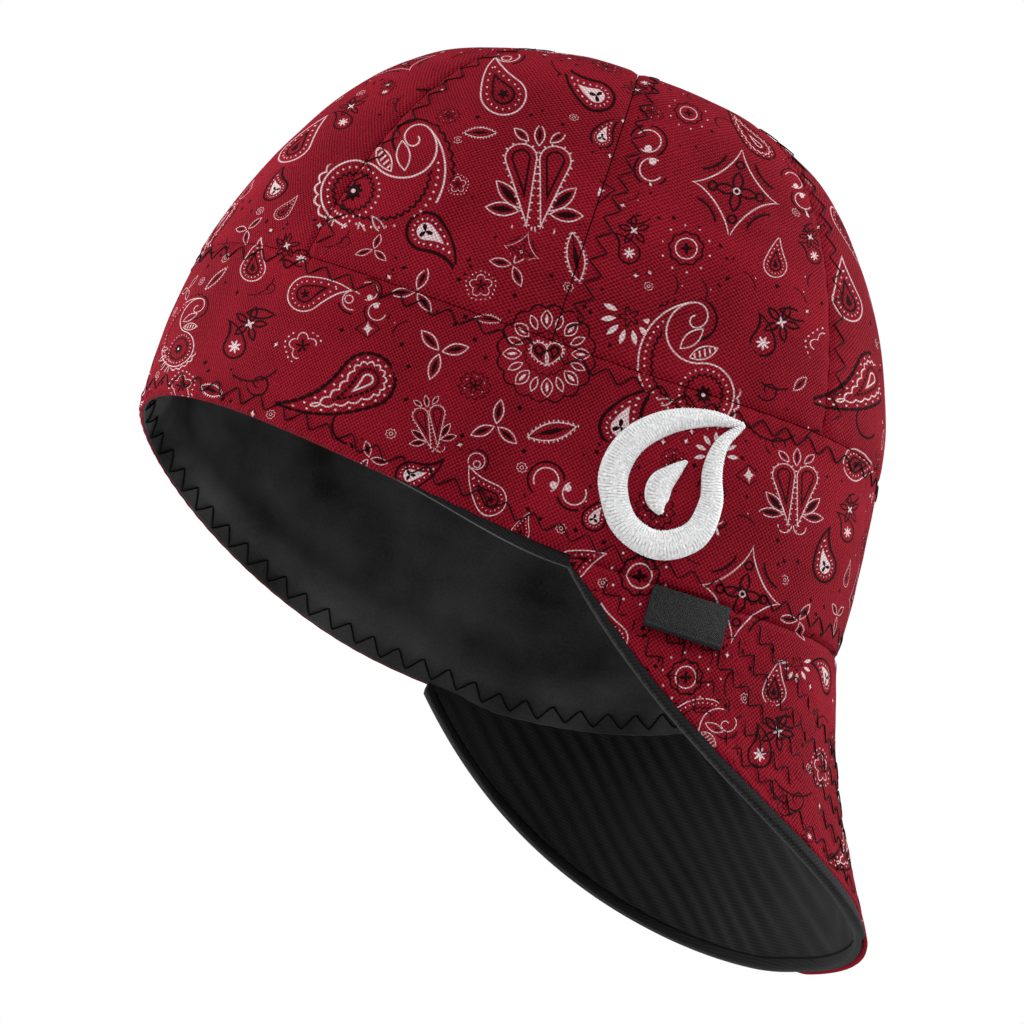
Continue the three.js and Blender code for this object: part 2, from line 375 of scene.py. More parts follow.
def union(*inks: Field) -> Field:
    """Returns the ink that any of the given inks puts down."""
    total = inks[0]
    for ink in inks[1:]:
        total = total.at_least(ink)
    return total


# The print's motifs, drawn by the shader from the number kept on each face, and their radii.
Motif = IntEnum("Motif", (
    "PLAIN PAISLEY PLUME DROP DAISY FLEUR ROSETTE SPRIG TULIP RING BURST "
    "TEAR SCROLL POSY LEAF CURL BARB GEAR STAR DIAMOND CLOUD LOOP"
), start=0)
MOTIF_RADIUS = dict(zip(Motif, (
    0.0, 15.5, 13.5, 8.6, 14.6, 15.2, 6.4, 7.4, 12.0, 7.8, 6.8,
    8.0, 8.4, 8.8, 7.0, 8.4, 6.6, 3.3, 3.6, 1.6, 7.6, 13.6,
)))


@dataclass(frozen=True)
class DropShape:
    """A drop of the print: distances from its outline, and the run along it."""

    outside: Field
    run: Field
    reach: Field
    turn: Field


class PrintDrawing:
    """The bandana print's node group: white and black ink from a motif's own coordinates."""

    def __init__(self) -> None:
        """Makes the group and reads the coordinates and the motif's number."""
        self.tree = bpy.data.node_groups.new("bandana print", "ShaderNodeTree")
        for name in ("White Ink", "Black Ink"):
            self.tree.interface.new_socket(name, in_out="OUTPUT", socket_type="NodeSocketFloat")
        place = add_node(self.tree, "ShaderNodeUVMap", uv_map="print")
        parts = add_node(self.tree, "ShaderNodeSeparateXYZ", {0: place.outputs[0]})
        self.x, self.y = (Field(self.tree, parts.outputs[axis]) for axis in (0, 1))
        self.reach, self.turn = self.polar(self.x, self.y)
        number = add_node(self.tree, "ShaderNodeAttribute", attribute_name="motif")
        self.number = Field(self.tree, number.outputs["Fac"])
        self.white: Field | None = None
        self.black: Field | None = None

    def polar(self, across: Field, along: Field) -> tuple[Field, Field]:
        """Returns the distance from the middle and the angle from straight up."""
        return across.distance_with(along), across.do("ARCTAN2", across, along)

    def drop(self, across: Field, along: Field, round_radius: float, tip: float, bend: float) -> DropShape:
        """Measures a drop whose round end is centred at 0 and whose tip points up.

        Args:
            across: coordinate to the right.
            along: coordinate upwards.
            round_radius: radius of the round end.
            tip: distance of the tip from the round end's centre.
            bend: how far, in radians, the tip is swirled to the right.

        Returns:
            The drop's distance fields.
        """
        reach, turn = self.polar(across, along)
        opening = acos(round_radius / tip)
        bent = abs(turn - reach * (bend / tip))
        before = (opening - bent).at_least(0)
        after = (bent - opening).at_least(0)
        outside = (reach * before.cosine()) - round_radius
        run = (reach * before.sine()) - after * round_radius
        return DropShape(outside, run, reach, turn)

    def dots(self, outside: Field, run: Field, level: float, pitch: float, radius: float) -> Field:
        """Returns a row of dots along a level of a distance field."""
        middle = run.bounce(pitch).distance_with(outside - level)
        return (middle - radius).inside()

    def scallops(self, outside: Field, run: Field, level: float, pitch: float, depth: float,
                 half: float) -> Field:
        """Returns a scalloped line along a level of a distance field."""
        hump = abs((run * (pi / pitch)).sine())
        return (outside - hump * depth - level).line(half)

    def ticks(self, outside: Field, run: Field, pitch: float, length: float) -> Field:
        """Returns short strokes that stand on an outline, one for each pitch."""
        return (run.bounce(pitch) - 0.15).inside() * (outside - length / 2).line(length / 2)

    def petals(self, reach: Field, turn: Field, count: int, middle: float, half: float,
               width: float) -> Field:
        """Returns the distance from pointed petals that stand round the middle.

        Args:
            reach: distance from the middle.
            turn: angle from straight up.
            count: number of petals.
            middle: distance of a petal's centre from the middle.
            half: half of a petal's length.
            width: half of a petal's width.

        Returns:
            A field that is negative inside the petals.
        """
        folded = turn.bounce(2 * pi / count)
        run = reach * folded.cosine() - middle
        side = abs(reach * folded.sine())
        return (run * run).times_plus(width / half ** 2, side - width)

    def leaf(self, stem: Spot, tip: Spot, width: float, across: Field | None = None) -> Field:
        """Returns the distance from a pointed leaf between its stem and its tip.

        Args:
            stem: where the leaf starts.
            tip: where it ends.
            width: half of its width.
            across: coordinate to the right, if it isn't the motif's own.

        Returns:
            A field that is negative inside the leaf.
        """
        x = self.x if across is None else across
        length = dist(stem, tip)
        right, up = (tip[0] - stem[0]) / length, (tip[1] - stem[1]) / length
        middle = ((stem[0] + tip[0]) / 2, (stem[1] + tip[1]) / 2)
        run = x.times_plus(right, self.y.times_plus(up, -middle[0] * right - middle[1] * up))
        side = x.times_plus(up, self.y.times_plus(-right, middle[1] * right - middle[0] * up))
        return (run * run).times_plus(4 * width / length ** 2, abs(side) - width)

    def circle(self, x: float, y: float, radius: float) -> Field:
        """Returns the distance from a circle."""
        return (self.x - x).distance_with(self.y - y) - radius

    def add(self, motif: Motif, white: Field | None, black: Field | None) -> None:
        """Keeps a motif's inks where the face's number is the motif's."""
        chosen = self.number.do("COMPARE", self.number, float(motif), 0.4)
        for name, ink in (("white", white), ("black", black)):
            if ink is not None:
                kept = getattr(self, name)
                setattr(self, name, ink * chosen if kept is None else ink.times_plus(chosen, kept))

    def draw_paisley(self) -> None:
        """Draws the large curled paisley with its flower, lace, leaves and spiral tail."""
        size = 15.0
        half = size / 2
        body, body_turn = self.polar(self.x, self.y + half)
        hollow = self.circle(0, half, half)
        sweep = (self.reach - size).at_least(self.x)
        comma = (sweep.at_least(hollow * -1)).at_most(body - half)
        left = self.x.inside(0.3)
        right = 1 - left
        low = (self.y + half).inside(2.0)
        body_run = body_turn * half
        sweep_run = self.turn * size
        curl = self.circle(0, size - 3.1, 3.1).white() * right
        curl = union(curl, self.circle(0, size - 4.7, 1.5).white() * left)
        inner = (comma + 0.9).inside()
        dots = union(
            self.dots(body - (half - 1.5), body_run, 0, 1.9, 0.24),
            self.dots(self.reach - (size - 1.5), sweep_run, 0, 1.9, 0.24) * left,
        )
        lace = self.scallops(body - half, body_run, 0.7, 2.6, 0.9, 0.22) * low * right
        fringe = self.petals(body, body_turn, 15, half + 2.6, 2.5, 0.85).white() * low * left
        sprays = union(
            self.leaf((-4.6, 4.0), (1.6, 8.4), 1.5).white(),
            self.leaf((-2.6, 1.6), (4.6, 3.4), 1.5).white(),
        )
        veined = self.leaf((-2.6, 1.6), (4.6, 3.4), 0.9).inside()
        veins = (self.x.bounce(1.3) - 0.2).inside() * veined
        flower = body - (body_turn * 8).cosine() * 0.4 - 1.9
        heart = (body - 0.5).inside()
        white = union(comma.line(0.18), curl, dots * inner, lace, fringe, sprays, veins, heart)
        black = union(
            self.scallops(body - half, body_run, -3.4, 2.3, 0.7, BLACK_LINE) * inner,
            self.scallops(self.reach - size, sweep_run, 1.3, 2.2, 0.7, BLACK_LINE) * left,
            self.scallops(self.reach - size, sweep_run, -3.6, 2.2, 0.6, BLACK_LINE) * left * inner,
            flower.inside() * (1 - heart),
            self.circle(0, size - 4.0, 5.2).black() * right,
        )
        self.add(Motif.PAISLEY, white, black)

    def draw_drops(self) -> None:
        """Draws the plume, the heavy drop, the dotted tear, the looped drop and the ticked leaf."""
        plume = self.drop(self.x + 3.6, self.y + 7.6, 6.4, 22.5, 0.55)
        dashes = (plume.run.bounce(2.1) - 0.78).inside()
        white = union(
            self.scallops(plume.outside, plume.run, -2.7, 3.0, 0.7, 0.19),
            self.dots(plume.outside, plume.run, -1.1, 3.0, 0.25),
            (plume.outside + 5.2).line(0.19),
        )
        black = union(
            plume.outside.black(),
            plume.outside.line(0.48) * dashes,
            (plume.outside + 3.9).line(0.36) * (plume.run.bounce(1.3) - 0.5).inside(),
            self.circle(-8.6, 3.0, 4.2).black() * (1 - (self.y - 3.0).inside()),
        )
        self.add(Motif.PLUME, white, black)
        drop = self.drop(self.x + 0.8, self.y + 3.2, 4.6, 12.0, 0.55)
        dark = (drop.reach - (drop.turn * 3).cosine() * 0.9 - 1.0).inside()
        white = union(
            self.dots(drop.outside, drop.run, -1.5, 1.8, 0.24),
            (drop.outside + 2.5).inside() * (1 - dark),
        )
        self.add(Motif.DROP, white, union(drop.outside.line(0.42), dark))
        tear = self.drop(self.x, self.y + 2.8, 4.3, 11.0, 0.2)
        white = union(tear.outside.white(), self.dots(tear.outside, tear.run, -1.25, 1.7, 0.2))
        black = union((tear.outside + 2.3).black(), (tear.outside + 3.4).inside())
        self.add(Motif.TEAR, white, black)
        loop = self.drop(self.x + 2.2, self.y + 4.6, 5.9, 15.0, 0.35)
        tail = self.circle(6.0, 8.4, 3.1)
        swirl = (self.x + 2.2).distance_with(self.y + 4.6)
        white = union(
            loop.outside.line(0.18),
            self.dots(loop.outside, loop.run, -1.6, 2.3, 0.24),
            tail.white() * (1 - (self.x - 3.6).inside() * (8.4 - self.y).inside()),
            self.circle(5.2, 7.6, 1.3).white(),
        )
        black = union(
            (loop.outside + 3.1).black(),
            self.ticks((loop.outside + 3.1) * -1, loop.run, 1.1, 0.8),
            (swirl - (loop.turn * 5).cosine() * 0.4 - 1.2).inside(),
            (tail - 1.3).black() * (1 - (self.x - 5.0).inside()),
        )
        self.add(Motif.LOOP, white, black)
        blade = self.leaf((0, -6.2), (0, 6.6), 2.2)
        white = union(blade.white(), self.ticks(blade, self.y, 1.2, 0.7))
        black = union((blade + 1.5).inside(), self.x.line(0.15) * blade.inside())
        self.add(Motif.LEAF, white, black)

    def draw_daisy(self) -> None:
        """Draws the round flower of sixteen petals with a pair of loops in its middle."""
        wide = self.petals(self.reach, self.turn, 8, 9.9, 2.7, 1.6)
        slim = self.petals(self.reach, self.turn + pi / 8, 8, 9.7, 2.2, 0.95)
        pair = self.drop(abs(self.x) - 2.3, 0.9 - self.y, 2.3, 5.0, -0.5)
        white = union(
            wide.white(),
            (wide + 1.15).inside(),
            slim.white(),
            pair.outside.white(),
            self.ticks(pair.outside, pair.run, 1.0, 0.7),
        )
        black = union(
            self.scallops(self.reach, self.turn * 13, 13.1, 13 * pi / 8, 1.2, BLACK_LINE),
            (pair.outside + 1.2).black(),
            (self.reach - 6.3 - (self.turn * 16).cosine() * 0.3).line(0.16),
        )
        self.add(Motif.DAISY, white, black)

    def draw_fleur(self) -> None:
        """Draws the upright pair of loops with leaves above and beside it."""
        side = abs(self.x)
        across = side.times_plus(0.989, self.y.times_plus(-0.147, -3.63))
        along = side.times_plus(-0.147, self.y.times_plus(-0.989, 5.49))
        loop = self.drop(across, along, 4.0, 17.6, 0.0)
        leaves = (
            self.leaf((0, 8.6), (0, 15.0), 1.3, side),
            self.leaf((2.8, 9.8), (6.6, 13.4), 1.15, side),
            self.leaf((3.8, -8.4), (10.2, -1.8), 1.7, side),
            self.leaf((4.0, -9.2), (12.4, -8.6), 1.6, side),
        )
        hook = (side - 2.9).distance_with(self.y + 13.0) - 2.5
        outline = union(*(blade.white() for blade in leaves))
        core = union(*((blade + 0.85).inside() for blade in leaves))
        below = (self.y + 12.8).inside()
        white = union(
            loop.outside.white(),
            self.ticks(loop.outside, loop.run, 1.9, 0.75),
            outline,
            hook.white() * below,
        )
        black = union((loop.outside + 1.75).black(), core)
        self.add(Motif.FLEUR, white, black)

    def draw_round_flowers(self) -> None:
        """Draws the five-lobed flower, the ringed star, the sprig, the fan, the gear and the cloud."""
        reach, turn = self.reach, self.turn
        lobes = (turn * 5).cosine()
        rim = reach - abs((turn * 2.5).cosine()) * 1.5 - 2.7
        star = reach - lobes * 0.95 - 1.3
        around = self.dots(reach - 5.4 - lobes * 0.25, turn * 4.7, 0, 2 * pi / 20 * 4.7, 0.24)
        self.add(Motif.ROSETTE, union(rim.white(), around), star.inside())
        ring = self.dots(reach - 6.9, turn * 6.8, 0, 2 * pi / 10 * 6.8, 0.27)
        wavy = reach - (turn * 9).cosine() * 0.25 - 4.7
        square = reach - (turn * 4).cosine() * 0.55 - 1.2
        self.add(Motif.RING, union((reach - 3.0).white(), ring), union(wavy.black(), square.inside()))
        sprig = self.petals(reach, turn, 3, 3.9, 3.3, 1.35)
        self.add(Motif.SPRIG, sprig.white(), (sprig + 0.85).inside())
        fan = self.petals(reach, turn, 11, 4.9, 1.7, 0.62)
        front = (2.0 - abs(turn)).times_plus(6.0, 0.0, clamp=True)
        small = reach - (turn * 5).cosine() * 0.7 - 1.6
        self.add(Motif.BURST, fan.inside() * front, small.black())
        teeth = reach - abs((turn * 4).cosine()) * 0.7 - 2.1
        self.add(Motif.GEAR, union(teeth.white(), (reach - 0.9).white()), (reach - 0.35).inside())
        edge = self.scallops(reach, turn * 5.8, 5.0, 5.8 * pi / 6, 1.5, BLACK_LINE)
        inner = self.petals(reach, turn + 0.4, 5, 2.2, 1.9, 0.9)
        specks = self.dots(reach - 4.2, turn * 4.2, 0, 2 * pi / 6 * 4.2, 0.22)
        self.add(Motif.CLOUD, specks, union(edge, inner.black()))

    def draw_tulip(self) -> None:
        """Draws the four-cornered flower with hollow sides, its buds and its barbed arcs."""
        wide = abs(self.x)
        high = abs(self.y)
        hollow = (wide * 0.95).do("POWER", wide * 0.95, 0.7) + high.do("POWER", high * 0.82, 0.7)
        outside = hollow.do("POWER", hollow, 1 / 0.7) - 9.8
        flower = self.petals(self.reach, self.turn, 4, 2.5, 2.5, 1.15)
        arc = (wide - 10.6).distance_with(high - 10.6) - 7.3
        middle = ((wide - high) * 0.72).line(3.6, 0.5)
        white = union((outside * 0.62).white(), (self.reach - 0.7).white())
        black = union(
            flower.black(),
            ((wide - 5.6).distance_with(high) - 1.0).black(),
            (wide.distance_with(high - 7.0) - 0.95).black(),
            arc.black() * middle,
            self.ticks(arc, (wide - high) * 0.72, 1.25, 0.9) * middle,
        )
        self.add(Motif.TULIP, white, black)

    def draw_vines(self) -> None:
        """Draws the white scroll, the dark posy, the curl and the barbed arc."""
        upper = self.circle(-2.6, 2.9, 3.2)
        lower = self.circle(2.9, -2.9, 3.0)
        upper_open = self.x.do("LESS_THAN", self.x, -2.6) * self.y.do("LESS_THAN", self.y, 2.9)
        lower_open = self.x.do("GREATER_THAN", self.x, 2.9) * self.y.do("GREATER_THAN", self.y, -2.9)
        balls = union(self.circle(-1.3, 1.0, 0.95).inside(), self.circle(1.8, -1.0, 0.95).inside())
        tail = self.leaf((4.6, -5.6), (8.0, -8.6), 0.4).inside()
        white = union(upper.white() * (1 - upper_open), lower.white() * (1 - lower_open), balls, tail)
        shadow = union(
            (upper - 1.5).black() * self.y.do("GREATER_THAN", self.y, 1.0),
            (lower - 1.4).black() * self.y.do("LESS_THAN", self.y, -2.2),
        )
        self.add(Motif.SCROLL, white, shadow)
        bulb = self.drop(self.x + 0.6, self.y + 4.0, 3.1, 7.4, -0.6)
        crown, crown_turn = self.polar(self.x - 1.0, self.y - 3.0)
        blades = self.petals(crown, crown_turn, 5, 2.7, 2.0, 0.8)
        cross = self.petals(crown, crown_turn + 0.7, 4, 0.6, 0.8, 0.28).inside()
        hat = self.leaf((-1.0, 5.6), (6.4, 7.4), 1.3)
        splash = (bulb.reach - (bulb.turn * 7).cosine() * 0.55 - 1.2).inside()
        self.add(Motif.POSY, union(cross, splash), union(bulb.outside.black(), blades.black(), hat.black()))
        reach, turn = self.polar(self.x - 1.5, self.y)
        spiral = (reach - turn * (2.6 / (2 * pi))).bounce(2.6)
        curl = (spiral - BLACK_LINE).inside() * (reach - 4.0).inside() * (1.0 - reach).inside(0.5)
        arc = (self.x + 9.5).distance_with(self.y - 4.0) - 10.5
        stem = arc.black() * (abs(self.y) - 7.0).inside()
        thorns = self.ticks(arc, self.y, 1.5, 0.9) * (abs(self.y) - 6.5).inside()
        self.add(Motif.CURL, None, union(curl, stem, thorns))
        bow = (self.x + 8.4).distance_with(self.y) - 8.8
        reachable = (abs(self.y) - 5.6).inside()
        line = union(bow.black(), self.ticks(bow, self.y, 1.2, 0.85), self.ticks(bow * -1, self.y, 1.2, 0.7))
        self.add(Motif.BARB, self.circle(2.6, 0.0, 0.35).inside(), line * reachable)

    def draw_small(self) -> None:
        """Draws the four-pointed star in its diamond and the small dark diamond."""
        wide = abs(self.x) + 0.02
        high = abs(self.y) + 0.02
        points = wide.do("POWER", wide, 0.6) + (high * 0.66).do("POWER", high * 0.66, 0.6)
        frame_line = (wide * 0.62 + high * 0.8 - 2.1).line(0.17)
        self.add(Motif.STAR, (points - 1.3).inside(0.3), frame_line)
        self.add(Motif.DIAMOND, None, (wide + high * 0.75 - 1.0).inside())

    def finish(self) -> NodeTree:
        """Draws every motif and returns the group."""
        self.draw_paisley()
        self.draw_drops()
        self.draw_daisy()
        self.draw_fleur()
        self.draw_round_flowers()
        self.draw_tulip()
        self.draw_vines()
        self.draw_small()
        add_node(self.tree, "NodeGroupOutput", {0: self.white, 1: self.black})
        return self.tree


def noise(place: NodeSocket, scale: float, detail: float, dimensions: str = "2D") -> Field:
    """Returns noise on coordinates, scale in waves for each of their units."""
    inputs = {"Vector": place, "Scale": scale, "Detail": detail}
    node = add_node(place.id_data, "ShaderNodeTexNoise", inputs, noise_dimensions=dimensions)
    return Field(place.id_data, node.outputs[0])


def mixed(share: Field, first: object, second: object) -> NodeSocket:
    """Returns a colour mixed by share from the first to the second, each a tuple or an output."""
    first, second = ((*colour, 1) if isinstance(colour, tuple) else colour for colour in (first, second))
    inputs = {0: share, 6: first, 7: second}
    return add_node(share.tree, "ShaderNodeMix", inputs, data_type="RGBA").outputs[2]


@dataclass(frozen=True)
class WeaveFinish:
    """A cloth's colours and thread pitch, dressed as a woven node material."""

    name: str
    light: tuple[float, float, float]
    dark: tuple[float, float, float]
    warp: float = 0.54
    weft: float = 0.66
    twill: bool = False
    relief: float = 0.00022
    strength: float = 0.6
    roughness: float = 0.85
    gloss: float = 0.03
    sheen: float = 0.0
    sheen_tint: tuple[float, float, float] = (1.0, 0.8, 0.8)
    contrast: float = 0.7
    blotchiness: float = 0.45
    slubbiness: float = 0.45
    sheen_roughness: float = 0.45
    white_ink: tuple[float, float, float] = (0.66, 0.53, 0.54)
    black_ink: tuple[float, float, float] = (0.003, 0.001, 0.0015)
    printed: bool = False

    def material(self) -> Material:
        """Builds the node material from the cloth's own coordinates."""
        material, shader = new_material(self.name, {
            "Sheen Weight": self.sheen,
            "Sheen Roughness": self.sheen_roughness,
            "Sheen Tint": (*self.sheen_tint, 1),
            "Specular IOR Level": self.gloss,
        })
        tree = material.node_tree
        place = add_node(tree, "ShaderNodeUVMap", uv_map="cloth").outputs[0]
        parts = add_node(tree, "ShaderNodeSeparateXYZ", {0: place})
        slub = noise(place, 1.3, 3.0)
        across = Field(tree, parts.outputs[0]) + (noise(place, 0.35, 2.0) - 0.5) * 0.6
        along = Field(tree, parts.outputs[1]) + (slub - 0.5) * 0.25
        if self.twill:
            along = along + across * 0.5
        threads = (across * (pi / self.warp)).sine() * (along * (pi / self.weft)).sine()
        weave = threads.times_plus(0.5, 0.5)
        blotch = noise(place, 0.035, 3.0)
        even = 0.5 - 0.5 * (self.contrast + self.blotchiness + self.slubbiness)
        uneven = slub * self.slubbiness + blotch.times_plus(self.blotchiness, even)
        colour = mixed(weave.times_plus(self.contrast, uneven, clamp=True), self.dark, self.light)
        if self.printed:
            inks = add_node(tree, "ShaderNodeGroup", node_tree=bpy.data.node_groups["bandana print"])
            black = Field(tree, inks.outputs[1]) * weave.times_plus(0.2, 0.82, clamp=True)
            white = Field(tree, inks.outputs[0]) * weave.times_plus(0.75, 0.35, clamp=True)
            colour = mixed(white, mixed(black, colour, self.black_ink), self.white_ink)
        relief = abs(threads) + slub * 0.5
        bump = add_node(tree, "ShaderNodeBump", {
            "Strength": self.strength,
            "Distance": self.relief,
            "Height": relief,
        })
        feed(shader, {
            "Base Color": colour,
            "Roughness": weave.times_plus(-0.12, self.roughness + 0.06),
            "Normal": bump.outputs[0],
        })
        return material


@dataclass(frozen=True)
class ThreadFinish:
    """Sewing thread, dressed with a fine noise along it."""

    name: str
    light: tuple[float, float, float]
    dark: tuple[float, float, float]
    roughness: float = 0.6
    gloss: float = 0.2
    grain: float = 1500.0

    def material(self) -> Material:
        """Builds the thread's node material on object coordinates."""
        material, shader = new_material(self.name, {"Sheen Weight": 0.0, "Specular IOR Level": self.gloss})
        place = add_node(material.node_tree, "ShaderNodeTexCoord").outputs["Object"]
        grain = noise(place, self.grain, 2.0, "3D")
        feed(shader, {
            "Base Color": mixed(grain.times_plus(2.2, -0.6, clamp=True), self.dark, self.light),
            "Roughness": grain.times_plus(0.2, self.roughness - 0.1),
        })
        return material


@dataclass(frozen=True)
class PlacedMotif:
    """One motif of the print on the cap, with the directions that its own coordinates run along."""

    motif: Motif
    centre: Array
    right: Array
    up: Array
    radius: float


# The main motifs, listed one by one: motif, part, degrees round the cap, share up the part (on the bill
# millimetres below the edge), degrees of its top as seen from the temple, size, and 1 if mirrored.
MAIN_MOTIFS = (
    ("PAISLEY", "crown", 136.5, 0.22, 48, 1.25, 1),
    ("LOOP", "crown", 126, 0.52, -28, 1.1),
    ("DROP", "crown", 107, 0.56, -70, 1.15),
    ("FLEUR", "crown", 107.5, 0.30, 4, 1.1),
    ("ROSETTE", "crown", 120, 0.23, 0, 0.55),
    ("LEAF", "crown", 121.5, 0.36, -90, 0.7),
    ("DROP", "crown", 119, 0.11, 112, 1.15),
    ("SPRIG", "crown", 105.5, 0.11, 160, 0.9),
    ("STAR", "crown", 96.5, 0.32, 0, 1.4),
    ("LEAF", "crown", 96.5, 0.17, 172, 1.1),
    ("LOOP", "band", 134.5, 0.8, 66, 0.86),
    ("SCROLL", "band", 125, 0.86, 20, 0.8),
    ("SPRIG", "crown", 118.5, 0.0, 25, 1.0),
    ("ROSETTE", "crown", 109, 0.05, 0, 0.75),
    ("DAISY", "band", 96, 0.92, 0, 0.95),
    ("STAR", "band", 124, 0.70, 0, 1.0),
    ("ROSETTE", "band", 134, 0.47, 0, 0.92),
    ("SPRIG", "band", 111.5, 0.72, 200, 1.1),
    ("PLUME", "band", 126, 0.3, 225, 1.15),
    ("SCROLL", "crown", 89, 0.44, 40, 1.1),
    ("TULIP", "crown", 70.5, 0.43, 12, 1.25),
    ("CURL", "crown", 135, 0.51, 0, 0.9),
    ("TEAR", "crown", 164, 0.27, 20, 1.3),
    ("POSY", "crown", 156.5, 0.35, 0, 0.9),
    ("RING", "crown", 79, 0.26, 0, 1.0),
    ("POSY", "crown", 88.5, 0.24, 0, 0.95),
    ("TEAR", "crown", 63, 0.31, 0, 0.8),
    ("BURST", "crown", 85.5, 0.09, 200, 1.2),
    ("PAISLEY", "crown", 73, 0.05, -5, 1.15),
    ("POSY", "crown", 62.5, 0.16, 30, 1.15),
    ("ROSETTE", "crown", 52.5, 0.17, 0, 1.0),
    ("TEAR", "crown", 46, 0.32, -10, 1.3),
    ("PLUME", "crown", 45, 0.12, 221, 1.15),
    ("CURL", "crown", 62, 0.05, 90, 0.85),
    ("DROP", "band", 82, 0.76, 12, 1.2),
    ("LEAF", "band", 92, 0.54, 78, 1.05),
    ("SPRIG", "band", 100, 0.46, 10, 1.0),
    ("LOOP", "band", 99, 0.14, -52, 0.72),
    ("SCROLL", "band", 88.5, 0.29, -20, 1.05),
    ("FLEUR", "band", 54, 0.67, 6, 0.78),
    ("BURST", "band", 67.5, 0.71, 0, 0.95),
    ("STAR", "band", 62, 0.66, 0, 1.1),
    ("TEAR", "band", 39.5, 0.96, 85, 1.05),
    ("DROP", "band", 45, 0.41, -22, 0.92),
    ("TULIP", "band", 58, 0.08, 14, 1.12),
    ("RING", "bill", 63.5, 23, 0, 0.95),
    ("TEAR", "bill", 49, 17, 0, 0.8),
    ("POSY", "bill", 49, 33, 30, 1.1),
    ("PAISLEY", "bill", 60.5, 39, 60, 0.72),
    ("ROSETTE", "bill", 35.5, 35, 0, 0.95),
    ("PLUME", "bill", 29, 57, 225, 0.9),
    ("CURL", "bill", 46, 49, 90, 0.7),
    ("RING", "band", 73.5, 0.01, 0, 1.1),
    ("PAISLEY", "band", 164.5, 0.39, 20, 0.7),
    ("POSY", "band", 148, 0.44, 20, 1.05),
    ("TEAR", "band", 152.5, 0.89, 0, 0.85),
    ("POSY", "crown", 144, 0.0, -60, 0.8),
    ("ROSETTE", "band", 160, 0.05, 0, 0.8),
    ("FLEUR", "band", 109.5, 0.34, -10, 0.52),
    ("RING", "crown", 81, 0.60, 0, 0.85),
    ("DROP", "crown", 99, 0.46, 10, 0.7),
    ("SCROLL", "crown", 54.5, 0.51, 30, 0.9),
    ("POSY", "crown", 54.5, 0.38, -20, 0.8),
    ("TEAR", "crown", 83.5, 0.07, 150, 0.5),
    ("TULIP", "band", -102, 0.91, 10, 0.5),
    ("DROP", "band", 82, 0.24, 20, 0.7),
    ("POSY", "band", 40.5, 0.65, 0, 0.9),
    ("LEAF", "band", -50.5, 0.06, 0, 0.6),
    ("SPRIG", "band", 46.5, 0.05, 40, 0.8),
    ("TEAR", "bill", 76, 17, -30, 0.9),
    ("CURL", "band", 141, 0.2, 60, 0.9),
    ("CURL", "band", 59, 0.88, 70, 0.85),
    ("CLOUD", "bill", 58, 40, 0, 0.9),
    ("CURL", "bill", 44, 46, 80, 0.85),
    ("BURST", "bill", 45, 9, 180, 0.8),
    ("CURL", "crown", 114, 0.58, 110, 0.8),
    ("BARB", "crown", 140, 0.47, 60, 1.1),
    ("BARB", "crown", 71, 0.49, 80, 1.0),
    ("TULIP", "crown", 105, 0.14, 20, 0.5),
)


